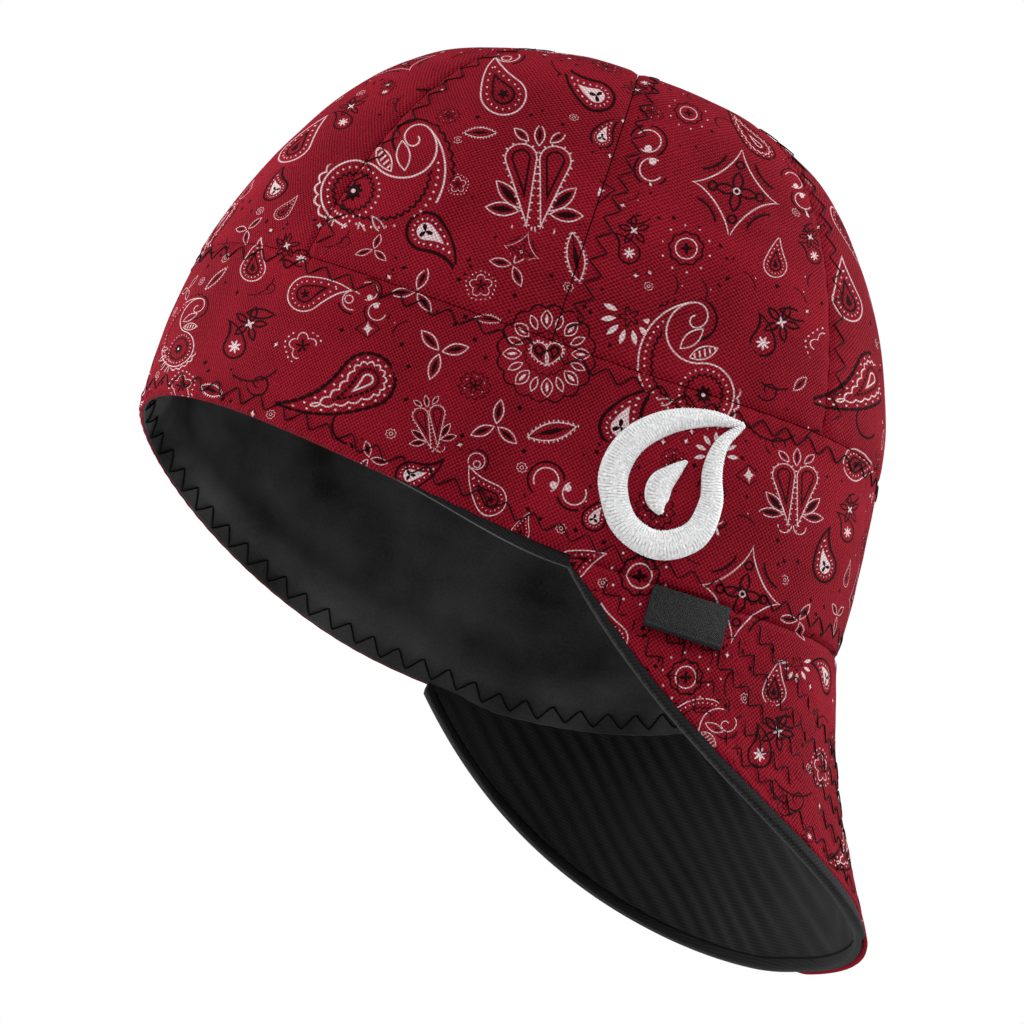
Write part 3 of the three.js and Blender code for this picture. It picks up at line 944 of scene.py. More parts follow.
@dataclass
class BandanaPrint:
    """The print's layout over crown, band and bill: the main motifs, then seeded throws between them."""

    form: CapForm
    seen_right: Array
    seen_up: Array
    seed: int = 11
    gap: float = -0.5
    least_facing: float = 0.72
    placed: list[PlacedMotif] = field(default_factory=list)

    def spot(self, part: str, angle: float, share: float) -> Placing:
        """Returns the place and two tangent directions, to the right as seen and upwards.

        Args:
            part: crown, band or bill.
            angle: angle round the cap in radians.
            share: share up the crown or band, or millimetres below the edge on the bill.

        Returns:
            The centre, the direction to the viewer's right and the direction upwards.
        """
        surface, step, value = {
            "crown": (self.form.crown, CROWN_STEP, share),
            "band": (self.form.band, BAND_STEP, share),
            "bill": (self.form.bill, BILL_STEP, -share),
        }[part]
        where = np.array([angle])
        height = np.array([value])
        outward = self.form.outward(surface, where, height, step)[0]
        rise = surface(where, height + step)[0] - surface(where, height - step)[0]
        up = unit(rise - outward * (rise @ outward))
        return surface(where, height)[0], np.cross(up, outward), up

    def put(self, motif: Motif, spot: Placing, turn: float, scale: float, flip: bool) -> None:
        """Places one motif, turned clockwise as seen from outside."""
        centre, right, up = spot
        new_right = right * cos(turn) - up * sin(turn)
        new_up = right * sin(turn) + up * cos(turn)
        if flip:
            new_right = -new_right
        radius = MOTIF_RADIUS[motif] * scale
        self.placed.append(PlacedMotif(motif, centre, new_right / scale, new_up / scale, radius))

    def put_seen(self, motif: Motif, spot: Placing, turn: float, scale: float, flip: bool) -> None:
        """Places a main motif so that it keeps its proportions as seen from the right temple.

        Args:
            motif: which motif.
            spot: its place and tangent directions.
            turn: direction of its top as seen from the temple, in radians clockwise from upwards.
            scale: its size.
            flip: whether it is mirrored.
        """
        centre, right, up = spot
        seen = np.stack([self.seen_right, self.seen_up]) @ np.stack([right, up], 1)
        before, facing, after = np.linalg.svd(seen)
        seen = before @ np.diag(np.maximum(facing, self.least_facing)) @ after
        turned = np.array([[cos(turn), sin(turn)], [-sin(turn), cos(turn)]])
        if flip:
            turned[:, 0] *= -1
        axes = np.linalg.inv(seen) @ turned * scale
        own = np.linalg.inv(axes)
        radius = MOTIF_RADIUS[motif] * sqrt(abs(float(np.linalg.det(axes))))
        directions = own @ np.stack([right, up])
        self.placed.append(PlacedMotif(motif, centre, directions[0], directions[1], radius))

    def room(self, centre: Array, radius: float) -> bool:
        """Tells whether a motif of that radius fits beside those already placed."""
        centres = np.array([m.centre for m in self.placed])
        radii = np.array([m.radius for m in self.placed])
        return bool(np.all(np.linalg.norm(centres - centre, axis=1) > radii + radius + self.gap))

    def lay_out(self) -> None:
        """Places the main motifs and fills the cloth between them from large to small."""
        for name, part, angle, share, turn, scale, *flip in MAIN_MOTIFS:
            spot = self.spot(part, radians(angle), share)
            self.put_seen(Motif[name], spot, radians(turn), scale, bool(flip))
        source = np.random.default_rng(self.seed)
        rounds = (
            ("PAISLEY DAISY FLEUR PLUME LOOP", 600, 1.0),
            ("TULIP PLUME LOOP", 300, 0.85),
            ("DROP TEAR SCROLL POSY RING CLOUD CURL", 2200, 0.9),
            ("CURL CLOUD BARB SPRIG LEAF POSY", 2600, 0.72),
            ("BARB CLOUD CURL POSY LEAF TEAR", 3000, 0.56),
            ("STAR GEAR DIAMOND BARB", 2600, 0.5),
            ("DIAMOND DIAMOND", 2000, 0.75),
        )
        for names, tries, size in rounds:
            motifs = [Motif[name] for name in names.split()]
            for _ in range(tries):
                part = str(source.choice(["crown", "crown", "crown", "band", "band", "bill"]))
                angle = source.uniform(-pi, pi)
                if part == "bill":
                    angle *= 0.46
                    share = source.uniform(0, 1) * float(self.form.bill_reach(np.array([angle]))[0])
                elif part == "band":
                    share = source.uniform(0, 1)
                else:
                    share = 1 - sqrt(source.uniform(0, 1))
                motif = motifs[source.integers(len(motifs))]
                scale = size * source.uniform(0.92, 1.08)
                turn = source.normal(0, 0.5) if source.uniform() < 0.6 else source.uniform(-3.1, 3.1)
                flip = bool(source.uniform() < 0.5)
                spot = self.spot(part, angle, share)
                if self.room(spot[0], MOTIF_RADIUS[motif] * scale):
                    self.put(motif, spot, float(turn), scale, flip)
        log.info("print: %d motifs", len(self.placed))

    def mark(self, mesh: Mesh, faces: int) -> None:
        """Writes each face's motif and its place in it onto a mesh.

        Args:
            mesh: a mesh of quads in metres.
            faces: how many faces from the first carry the print.
        """
        corners = np.empty(len(mesh.loops), np.int32)
        mesh.loops.foreach_get("vertex_index", corners)
        points = np.empty(len(mesh.vertices) * 3)
        mesh.vertices.foreach_get("co", points)
        points = points.reshape(-1, 3) / MM
        quads = corners[: faces * 4].reshape(-1, 4)
        middles = points[quads].mean(1)
        centres = np.array([m.centre for m in self.placed])
        radii = np.array([m.radius for m in self.placed])
        nearest = np.empty(len(middles), int)
        for start in range(0, len(middles), 4000):
            part = middles[start : start + 4000, None] - centres[None]
            nearest[start : start + 4000] = ((part ** 2).sum(-1) - radii ** 2).argmin(1)
        numbers = np.zeros(len(mesh.polygons), np.float32)
        numbers[:faces] = np.array([float(m.motif) for m in self.placed])[nearest]
        rights = np.array([m.right for m in self.placed])[nearest]
        ups = np.array([m.up for m in self.placed])[nearest]
        offset = points[quads] - centres[nearest][:, None]
        place = np.zeros((len(mesh.loops), 2), np.float32)
        place[: faces * 4, 0] = (offset * rights[:, None]).sum(-1).ravel()
        place[: faces * 4, 1] = (offset * ups[:, None]).sum(-1).ravel()
        mesh.attributes.new("motif", "FLOAT", "FACE").data.foreach_set("value", numbers)
        mesh.uv_layers.new(name="print").data.foreach_set("uv", place.ravel())


@dataclass
class ClothWall:
    """A closed wall of cloth between an outer and an inner grid of points.

    Rows run upwards and columns follow the angle. The cloth grid holds the place of each point
    on the flat cloth, in millimetres.
    """

    name: str
    outer: Array
    inner: Array
    cloth: Array
    joined: bool = False

    def build(self) -> Object:
        """Returns the wall as an object, with its outer faces first."""
        rows, across = self.outer.shape[0], self.outer.shape[1]
        columns = across if self.joined else across - 1
        row, column = np.meshgrid(np.arange(rows - 1), np.arange(columns), indexing="ij")
        after = (column + 1) % across
        shift = rows * across

        def quads(*corners: tuple[int, Array, Array]) -> Array:
            """Returns one row of four corners for each face, each given by grid, row and column."""
            return np.stack([(grid * shift + r * across + c).ravel() for grid, r, c in corners], -1)

        edge, edge_after = column[0], after[0]
        low, high = np.zeros_like(edge), np.full_like(edge, rows - 1)
        faces = [
            quads((0, row, column), (0, row + 1, column), (0, row + 1, after), (0, row, after)),
            quads((1, row, column), (1, row, after), (1, row + 1, after), (1, row + 1, column)),
            quads((0, low, edge), (0, low, edge_after), (1, low, edge_after), (1, low, edge)),
            quads((0, high, edge), (1, high, edge), (1, high, edge_after), (0, high, edge_after)),
        ]
        if not self.joined:
            up = np.arange(rows - 1)
            left, right = np.zeros_like(up), np.full_like(up, across - 1)
            faces.append(quads((0, up, left), (1, up, left), (1, up + 1, left), (0, up + 1, left)))
            faces.append(quads((0, up, right), (0, up + 1, right), (1, up + 1, right), (1, up, right)))
        all_faces = np.concatenate(faces).astype(np.int32)
        points = np.concatenate([self.outer.reshape(-1, 3), self.inner.reshape(-1, 3)]) * MM
        cloth = np.concatenate([self.cloth.reshape(-1, 2)] * 2)
        mesh = plain_mesh(self.name, points, all_faces)
        place = cloth[all_faces.ravel()].astype(np.float32)
        mesh.uv_layers.new(name="cloth").data.foreach_set("uv", place.ravel())
        self.outer_faces = len(faces[0])
        return linked(self.name, mesh)


def plain_mesh(name: str, points: Array, quads: Array) -> Mesh:
    """Returns a smooth mesh from points in metres and faces of four corners."""
    mesh = bpy.data.meshes.new(name)
    mesh.vertices.add(len(points))
    mesh.vertices.foreach_set("co", points.astype(np.float32).ravel())
    mesh.loops.add(quads.size)
    mesh.loops.foreach_set("vertex_index", quads.ravel())
    mesh.polygons.add(len(quads))
    mesh.polygons.foreach_set("loop_start", np.arange(0, quads.size, 4, dtype=np.int32))
    mesh.polygons.foreach_set("use_smooth", np.ones(len(quads), bool))
    mesh.update(calc_edges=True)
    mesh.set_sharp_from_angle(angle=radians(50))
    return mesh


def linked(name: str, mesh: Mesh) -> Object:
    """Returns a new object with that mesh, in the scene."""
    piece = bpy.data.objects.new(name, mesh)
    bpy.context.scene.collection.objects.link(piece)
    return piece


@dataclass(frozen=True)
class SewnPath:
    """A line of stitches: its points, the direction across it and the cloth's outward direction."""

    points: Array
    across: Array
    outward: Array


@dataclass
class StitchWork:
    """Sews zigzag, straight and satin stitches with one Geometry Nodes tree."""

    tree: NodeTree | None = None
    seed: int = 7

    INPUTS = (
        ("Pitch", "NodeSocketFloat"),
        ("Half Width", "NodeSocketFloat"),
        ("Thread Radius", "NodeSocketFloat"),
        ("Lift", "NodeSocketFloat"),
        ("Sink", "NodeSocketFloat"),
        ("Steps", "NodeSocketFloat"),
        ("Unevenness", "NodeSocketFloat"),
        ("Thread", "NodeSocketMaterial"),
    )

    def build_tree(self) -> None:
        """Builds the tree: resample the path, swing and lift it, and sweep a thread along it."""
        tree = bpy.data.node_groups.new("zigzag stitches", "GeometryNodeTree")
        geometry = ("Geometry", "NodeSocketGeometry")
        for name, kind in (geometry, *self.INPUTS):
            tree.interface.new_socket(name, in_out="INPUT", socket_type=kind)
        tree.interface.new_socket(geometry[0], in_out="OUTPUT", socket_type=geometry[1])
        given = add_node(tree, "NodeGroupInput").outputs
        pitch, half_width, lift, sink, steps, uneven = (
            Field(tree, given[name])
            for name in ("Pitch", "Half Width", "Lift", "Sink", "Steps", "Unevenness")
        )
        curve = add_node(tree, "GeometryNodeMeshToCurve", {"Mesh": given["Geometry"]})
        length = pitch.do("DIVIDE", pitch, steps)
        inputs = {"Curve": curve.outputs[0], "Length": length}
        resample = add_node(tree, "GeometryNodeResampleCurve", inputs, mode="LENGTH")
        run = Field(tree, add_node(tree, "GeometryNodeSplineParameter").outputs["Length"])
        passed = run.do("DIVIDE", run, pitch) * 2
        stitch = passed.do("FLOOR", passed)
        share = passed - stitch
        before = 1 - self._chance(stitch) * uneven
        after = 1 - self._chance(stitch + 1) * uneven
        side = stitch.do("MODULO", stitch, 2.0).times_plus(-2.0, 1.0)
        wave = (before - share * (before + after)) * side
        level = share.times_plus(2.0, -1.0)
        squared = level * level
        rise = (1 - squared * squared).times_plus(lift, sink)
        moves = []
        for name, amount in (("across", wave * half_width), ("outward", rise)):
            inputs = {"Name": name}
            named = add_node(tree, "GeometryNodeInputNamedAttribute", inputs, data_type="FLOAT_VECTOR")
            inputs = {0: named.outputs["Attribute"], "Scale": amount}
            moves.append(add_node(tree, "ShaderNodeVectorMath", inputs, operation="SCALE").outputs[0])
        offset = add_node(tree, "ShaderNodeVectorMath", dict(enumerate(moves)), operation="ADD")
        inputs = {"Geometry": resample.outputs[0], "Offset": offset.outputs[0]}
        move = add_node(tree, "GeometryNodeSetPosition", inputs)
        inputs = {"Resolution": 6, "Radius": given["Thread Radius"]}
        profile = add_node(tree, "GeometryNodeCurvePrimitiveCircle", inputs)
        inputs = {"Curve": move.outputs[0], "Profile Curve": profile.outputs[0], "Fill Caps": True}
        sweep = add_node(tree, "GeometryNodeCurveToMesh", inputs)
        realize = add_node(tree, "GeometryNodeRealizeInstances", {0: sweep.outputs[0]})
        inputs = {"Geometry": realize.outputs[0], "Material": given["Thread"]}
        dress = add_node(tree, "GeometryNodeSetMaterial", inputs)
        add_node(tree, "NodeGroupOutput", {0: dress.outputs[0]})
        self.tree = tree

    def _chance(self, number: Field) -> Field:
        """Returns a random share that belongs to a stitch's number."""
        inputs = {"Seed": self.seed, "ID": number}
        node = add_node(number.tree, "FunctionNodeRandomValue", inputs, data_type="FLOAT")
        return Field(number.tree, next(out for out in node.outputs if out.enabled))

    def sew(self, name: str, paths: Sequence[SewnPath], thread: Material, pitch: float, half_width: float,
            radius: float, lift: float = 0.35, sink: float = -0.15, steps: int = 8,
            uneven: float = 0.3) -> Object:
        """Sews stitches along paths and returns them as one plain mesh.

        Args:
            name: the piece's name.
            paths: where the stitches run.
            thread: the thread's material.
            pitch: length of one full zigzag, in millimetres.
            half_width: how far the zigzag swings to each side.
            radius: radius of the thread.
            lift: how far a stitch stands up between its needle holes.
            sink: height of the thread at its needle holes.
            steps: pieces that one full zigzag is bent from.
            uneven: share by which the swing falls short at random.

        Returns:
            The stitches, with no modifier left on them.
        """
        if self.tree is None:
            self.build_tree()
        points = np.concatenate([p.points for p in paths]) * MM
        mesh = bpy.data.meshes.new(name)
        edges = []
        start = 0
        for path in paths:
            count = len(path.points)
            edges += [(start + i, start + i + 1) for i in range(count - 1)]
            start += count
        mesh.from_pydata(points.tolist(), edges, [])
        for label, rows in (("across", [p.across for p in paths]), ("outward", [p.outward for p in paths])):
            values = np.concatenate(rows).astype(np.float32).ravel()
            mesh.attributes.new(label, "FLOAT_VECTOR", "POINT").data.foreach_set("vector", values)
        piece = linked(name, mesh)
        modifier = piece.modifiers.new("stitches", "NODES")
        modifier.node_group = self.tree
        lengths = [length * MM for length in (pitch, half_width, radius, lift, sink)]
        values = dict(zip(dict(self.INPUTS), (*lengths, float(steps), uneven, thread)))
        for item in self.tree.interface.items_tree:
            if item.in_out == "INPUT" and item.name in values:
                modifier[item.identifier] = values[item.name]
        graph = bpy.context.evaluated_depsgraph_get()
        sewn = bpy.data.meshes.new_from_object(piece.evaluated_get(graph))
        piece.modifiers.remove(modifier)
        piece.data = sewn
        for label in ("across", "outward"):
            if label in sewn.attributes:
                sewn.attributes.remove(sewn.attributes[label])
        sewn.polygons.foreach_set("use_smooth", np.ones(len(sewn.polygons), bool))
        sewn.update()
        return piece


@dataclass(frozen=True)
class Wardrobe:
    """The finished materials of the cap."""

    duck: Material
    lining: Material
    canvas: Material
    tab: Material
    black_thread: Material
    white_thread: Material

    @classmethod
    def prepare(cls) -> "Wardrobe":
        """Builds every material of the cap."""
        PrintDrawing().finish()
        duck = WeaveFinish(
            "printed red duck",
            light=(0.295, 0.0085, 0.0215),
            dark=(0.03, 0.0003, 0.0018),
            contrast=0.95,
            printed=True,
        )
        lining = WeaveFinish(
            "black cotton lining",
            light=(0.052, 0.052, 0.053),
            dark=(0.01, 0.01, 0.0105),
            warp=0.34,
            weft=0.3,
            relief=0.00005,
            contrast=0.2,
            blotchiness=1.7,
            sheen=0.06,
            sheen_tint=(0.9, 0.93, 1.0),
            roughness=0.78,
        )
        # The bill underside's quilted cotton, also put on the lining band's outer faces as painted shade.
        canvas = WeaveFinish(
            "black quilted cotton",
            light=(0.018, 0.018, 0.0182),
            dark=(0.003, 0.003, 0.003),
            warp=0.55,
            weft=0.5,
            twill=True,
            relief=0.00012,
            sheen=0.05,
            sheen_tint=(0.9, 0.93, 1.0),
            roughness=0.8,
        )
        tab = WeaveFinish(
            "black woven ribbon",
            light=(0.007, 0.007, 0.0073),
            dark=(0.002, 0.002, 0.002),
            warp=0.42,
            weft=0.5,
            twill=True,
            relief=0.00012,
            gloss=0.12,
            sheen=0.02,
            sheen_tint=(1.0, 1.0, 1.0),
            roughness=0.5,
        )
        black_thread = ThreadFinish(
            "black sewing thread", (0.006, 0.005, 0.0055), (0.0015, 0.0012, 0.0012), gloss=0.03,
        )
        white_thread = ThreadFinish(
            "white embroidery thread", (0.88, 0.88, 0.88), (0.52, 0.52, 0.53), roughness=0.4,
        )
        finishes = (duck, lining, canvas, tab, black_thread, white_thread)
        return cls(*(finish.material() for finish in finishes))


@dataclass
class Tailor:
    """What every sub-assembly works with."""

    form: CapForm
    cloths: Wardrobe
    bandana: BandanaPrint
    stitches: StitchWork

    def finish(self, piece: Object, nodes: Sequence[str], slot: str) -> Object:
        """Gives a piece its body and hides the CAD nodes that it stands for."""
        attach(piece, BODY)
        if nodes:
            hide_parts(*nodes)
        faces = sum(len(p.vertices) - 2 for p in piece.data.polygons)
        log.info("%s: %d triangles", piece.name, faces)
        return piece

    def dress(self, wall: ClothWall, cloth: Material, node: str, slot: str,
              printed: bool = False) -> Object:
        """Builds a wall of cloth as a finished piece that stands for one CAD node."""
        piece = wall.build()
        if printed:
            self.bandana.mark(piece.data, wall.outer_faces)
        piece.data.materials.append(cloth)
        return self.finish(piece, [node], slot)

    def sew_black(self, name: str, paths: Sequence[SewnPath], pitch: float, half_width: float,
                  radius: float = 0.19, **stitch: float) -> Object:
        """Sews black stitches along paths as a finished piece."""
        thread = self.cloths.black_thread
        piece = self.stitches.sew(name, paths, thread, pitch, half_width, radius, **stitch)
        return self.finish(piece, [], "black_cotton")

    def path(self, surface: Surface, angle: Array, height: Array, step: float, lift: float = 0.0,
             inside: bool = False) -> SewnPath:
        """Returns a line of stitches on a surface.

        Args:
            surface: the surface, by angle and height.
            angle: the angle of each point.
            height: the height value of each point.
            step: the surface's step in height for its slope.
            lift: how far above the surface the thread's holes lie, in millimetres.
            inside: whether the line lies on the inner side, so that lift goes inwards.

        Returns:
            The path, with across square to it on the surface.
        """
        outward = self.form.outward(surface, angle, height, step)
        if inside:
            outward = -outward
        points = surface(angle, height) + outward * lift
        along = unit(np.gradient(points, axis=0))
        return SewnPath(points, unit(np.cross(outward, along)), outward)


@dataclass
class Crown:
    """Eight gores of printed duck that meet at the top, their topstitching and the crown lining."""

    tailor: Tailor
    panel_count: int = 8
    turn: float = radians(5.8)
    wall: float = 2.3
    puff: float = 0.8
    seam_gap: float = 0.3
    tip_radius: float = 0.5
    seam_depth: float = 0.5
    seam_width: float = 1.0
    columns: int = 56
    rows: int = 112
    stitch_offset: float = 3.4
    stitch_half_width: float = 2.7
    stitch_pitch: float = 7.8
    pucker_height: float = 0.16
    full_relief_width: float = 14.0
    cloth_shift: float = 97.0
    lining_rows: int = 60
    lining_columns: int = 144
    lining_depth: float = 2.6
    lining_wall: float = 1.0
    lining_run: float = 85.0

    SOFT = ((0.55, 55, 21), (0.18, 19, 22))

    @property
    def pitch(self) -> float:
        """The angle that one gore takes."""
        return 2 * pi / self.panel_count

    def puffed(self, column: Array, share: Array) -> Array:
        """Returns how far a gore puffs out, at a share of its width and of its height."""
        return self.puff * 4 * column * (1 - column) * np.sin(pi * share ** 0.7)

    def surface(self, angle: Array, share: Array) -> Array:
        """Returns the crown's outside with puffed gores."""
        form = self.tailor.form
        column = np.mod(angle - self.turn, self.pitch) / self.pitch
        puff = self.puffed(column, np.clip(share, 0, 1))
        outward = form.outward(form.crown, angle, share, CROWN_STEP)
        return form.crown(angle, share) + outward * puff[..., None]

    def panel(self, index: int) -> Object:
        """Builds one gore."""
        form = self.tailor.form
        start = self.turn + index * self.pitch
        even = np.linspace(0, 1, self.columns + 1)
        column = blend_between(even, eased(even), 0.5)
        first = self.seam_gap / 2 / form.section_length
        last = 1 - self.tip_radius / form.section_length
        ramp = np.linspace(0, 1, self.rows + 1)
        row = blend_between(ramp, eased(ramp), 0.25)
        share, column = np.meshgrid(blend_between(first, last, row), column, indexing="ij")
        inset = self.seam_gap / 2 / form.radius_at(np.full_like(share, start), share)
        angle = blend_between(start + inset, start + self.pitch - inset, column)
        outward = form.outward(form.crown, angle, share, CROWN_STEP)
        base = form.crown(angle, share)
        radius = form.radius_at(angle, share)
        across = radius * self.pitch
        run = share * form.section_length
        to_seam = np.minimum(column, 1 - column) * across
        puff = self.puffed(column, share)
        tuck = self.seam_depth * np.maximum(bell(to_seam, self.seam_width), bell(run, self.seam_width))
        narrow = np.clip(across / self.full_relief_width, 0, 1)
        puckers = pucker(to_seam, 6, run, 7.8, 2.0 * ripple(base, 40, 5 + index))
        puckers += pucker(run, 7, angle * radius, 6.2)
        calm = 1 - np.exp(-np.minimum(to_seam, run) / 9)
        soft = waves(base, *self.SOFT) * calm
        relief = puff + narrow * (self.pucker_height * puckers + soft - tuck)
        outer = base + outward * relief[..., None]
        inner = base + outward * (puff - self.wall)[..., None]
        cloth = np.stack([(column - 0.5) * across + self.cloth_shift * index, run], -1)
        wall = ClothWall(f"crown_gore_{index + 1}", outer, inner, cloth)
        duck = self.tailor.cloths.duck
        piece = self.tailor.dress(wall, duck, f"crown_panel_{index + 1}", "red_duck", printed=True)
        area = float((across[:-1].mean(1) * np.diff(run[:, 0])).sum()) / SQUARE_MM_IN_M
        return piece

    def topstitching(self) -> Object:
        """Sews a zigzag beside every seam of the crown."""
        form = self.tailor.form
        paths = []
        for index in range(self.panel_count):
            seam = self.turn + index * self.pitch
            share = np.linspace(0.03, 0.965, 160)
            radius = form.radius_at(np.full_like(share, seam), share)
            room = np.clip(radius * self.pitch / 12, 0.15, 1)
            angle = seam - self.stitch_offset * room / radius
            path = self.tailor.path(self.surface, angle, share, CROWN_STEP)
            paths.append(SewnPath(path.points, path.across * room[:, None], path.outward))
        return self.tailor.sew_black(
            "crown_topstitching", paths, self.stitch_pitch, self.stitch_half_width,
            lift=0.25, sink=-0.08, uneven=0.35,
        )

    def lining(self) -> Object:
        """Builds the black dome inside the gores, closed at its top."""
        form = self.tailor.form
        length = form.section_length
        share = np.linspace(self.seam_gap / 2 / length, 1 - 0.4 / length, self.lining_rows)
        around = np.linspace(0, 2 * pi, self.lining_columns, endpoint=False)
        share, angle = np.meshgrid(share, around, indexing="ij")
        outward = form.outward(form.crown, angle, share, CROWN_STEP)
        base = form.crown(angle, share)
        folds = 0.9 * ripple(base, 32, 41) ** 2 + 0.35 * ripple(base, 15, 42)
        folds = np.maximum(folds * (1 - bell(share - 1, 0.12)), 0)
        outer = base - outward * self.lining_depth
        inner = base - outward * (self.lining_depth + self.lining_wall + folds)[..., None]
        cloth = np.stack([angle * self.lining_run, share * length], -1)
        piece = ClothWall("crown_lining", outer, inner, cloth, joined=True).build()
        close_pole(piece.data, 0.002)
        piece.data.materials.append(self.tailor.cloths.lining)
        self.tailor.finish(piece, ["lining_crown"], "black_cotton")
        around = form.radius_at(angle, share).mean(1)[:-1] * 2 * pi
        return piece

    def build(self) -> list[Object]:
        """Builds and dresses the whole crown."""
        gores = [self.panel(index) for index in range(self.panel_count)]
        return [*gores, self.topstitching(), self.lining()]


def close_pole(mesh: Mesh, radius: float) -> None:
    """Merges the small holes round the top of a dome, so that it is closed.

    Args:
        mesh: the dome.
        radius: in metres, points within three times this from the highest point's axis are merged
            where they lie closer together than a tenth of it.
    """
    work = bmesh.new()
    work.from_mesh(mesh)
    work.verts.ensure_lookup_table()
    top = max(work.verts, key=lambda vertex: vertex.co.z).co.copy()
    near = [v for v in work.verts if (v.co.xy - top.xy).length < radius * 3 and v.co.z > top.z - 0.01]
    bmesh.ops.remove_doubles(work, verts=near, dist=radius * 0.1)
    edges = [e for e in work.edges if e.is_boundary]
    if edges:
        bmesh.ops.holes_fill(work, edges=edges)
    work.to_mesh(mesh)
    work.free()


@dataclass
class SideBand:
    """The band round the head, its two zigzag rows, and the lining band with its hem."""

    tailor: Tailor
    wall: float = 2.3
    seam_gap: float = 0.3
    columns: int = 448
    rows: int = 44
    rim_wall: float = 0.7
    rim_height: float = 7.0
    hem_set_back: float = 0.3
    hem_slip: float = 4.0
    hem_slip_angle: float = radians(88)
    hem_slip_spread: float = radians(28)
    hem_tuck: float = 1.0
    hem_cover: float = 2.2
    cover_angle: float = radians(80)
    cover_fade: float = radians(8)
    pucker_height: float = 0.14
    stitch_pitch: float = 7.8
    stitch_half_width: float = 2.6
    below_crown: float = 3.9
    above_edge: float = 4.6
    lining_run: float = 92.0
    lining_columns: int = 420

    SOFT = ((0.5, 48, 31), (0.15, 17, 32))

    def behind_bill(self, angle: Array) -> Array:
        """Returns 1 where the bill hangs from the band and 0 behind it."""
        return np.clip((self.cover_angle - turn_from(angle, 0)) / self.cover_fade, 0, 1)

    def hem_share(self, angle: Array) -> Array:
        """Returns the share at which the lining's hem lies."""
        away = np.minimum(turn_from(angle, self.hem_slip_angle) / self.hem_slip_spread, 1)
        slip = self.hem_slip * np.cos(pi / 2 * away) ** 2
        slip = np.maximum(slip, self.hem_cover * self.behind_bill(angle))
        return (self.hem_set_back - slip) / self.tailor.form.band_height

    def cloth(self) -> Object:
        """Builds the printed band, open at its butt seam behind."""
        form = self.tailor.form
        inset = self.seam_gap / form.opening_width
        rows = np.linspace(0, 1, self.rows + 1)
        rows = np.concatenate([[0.0, 0.006, 0.014], rows[1:-1], [0.986, 1.0]])
        top = 1 - self.seam_gap / 2 / form.band_height
        around = np.linspace(-pi + inset, pi - inset, self.columns)
        share, angle = np.meshgrid(rows * top, around, indexing="ij")
        outward = form.outward(form.band, angle, share, BAND_STEP)
        base = form.band(angle, share)
        height = share * form.band_height
        to_top = (top - share) * form.band_height
        run = angle * CLOTH_RUN
        to_seam = (pi - np.abs(angle)) * 100
        tuck = 0.45 * bell(to_top, 1.0) + 1.1 * bell(height, 0.8)
        tuck = np.maximum(tuck, 0.9 * bell(to_seam, 1.6))
        puckers = pucker(to_top, 6, run, 6.2, ripple(base, 50, 3))
        puckers += pucker(height, 6, run, 5.8, ripple(base, 45, 4))
        soft = waves(base, *self.SOFT) * np.sin(pi * share)
        outer = base + outward * (self.pucker_height * puckers + soft - tuck)[..., None]
        wall = blend_between(self.rim_wall, self.wall, np.clip(height / self.rim_height, 0, 1) ** 2)
        inner = base - outward * np.maximum(wall, tuck + 0.35)[..., None]
        wall = ClothWall("side_band_cloth", outer, inner, np.stack([run, height], -1))
        piece = self.tailor.dress(wall, self.tailor.cloths.duck, "side_band", "red_duck", printed=True)
        return piece

    def topstitching(self) -> Object:
        """Sews the zigzags below the crown's seam and above the opening's edge."""
        form = self.tailor.form
        angle = np.linspace(-pi + 0.03, pi - 0.03, 700)
        paths = []
        for share in (1 - self.below_crown / form.band_height, self.above_edge / form.band_height):
            paths.append(self.tailor.path(form.band, angle, np.full_like(angle, share), BAND_STEP))
        return self.tailor.sew_black(
            "band_topstitching", paths, self.stitch_pitch, self.stitch_half_width, lift=0.25, sink=-0.08,
        )

    def lining_face(self, angle: Array, share: Array, inner: bool) -> Array:
        """Returns the lining's outer or inner face, with its hem, creases and soft folds.

        Args:
            angle: angle round the cap.
            share: share of the band's height, which is negative where the hem slips below the edge.
            inner: whether it is the face that lies against the head.

        Returns:
            The points of the face.
        """
        form = self.tailor.form
        base = form.band(angle, share)
        above = (share - self.hem_share(angle)) * form.band_height
        rim = self.rim_wall + 0.15 + self.hem_tuck * self.behind_bill(angle)
        depth = blend_between(rim, self.wall + 0.3, np.clip(above / self.rim_height, 0, 1) ** 2)
        if inner:
            folds = 0.8 * ripple(base * np.array([1, 1, 0.3]), 34, 51) ** 2 + 0.16 * ripple(base, 9, 54)
            gathers = 1 + np.sin(angle * 26 + 2 * ripple(base, 60, 52))
            folds += 0.35 * np.exp(-np.abs(above - 9) / 8) * gathers
            folds += 1.2 * bell(above - 14 - 2.5 * ripple(base, 90, 53), 4.5)
            folds *= 1 - np.exp(-above / 6)
            hem = 0.3 * bell(above - 2.0, 2.0) - 0.3 * bell(above - 6.6, 0.8)
            depth = depth + 1.0 + folds + hem
        return base - form.outward(form.band, angle, share, BAND_STEP) * depth[..., None]

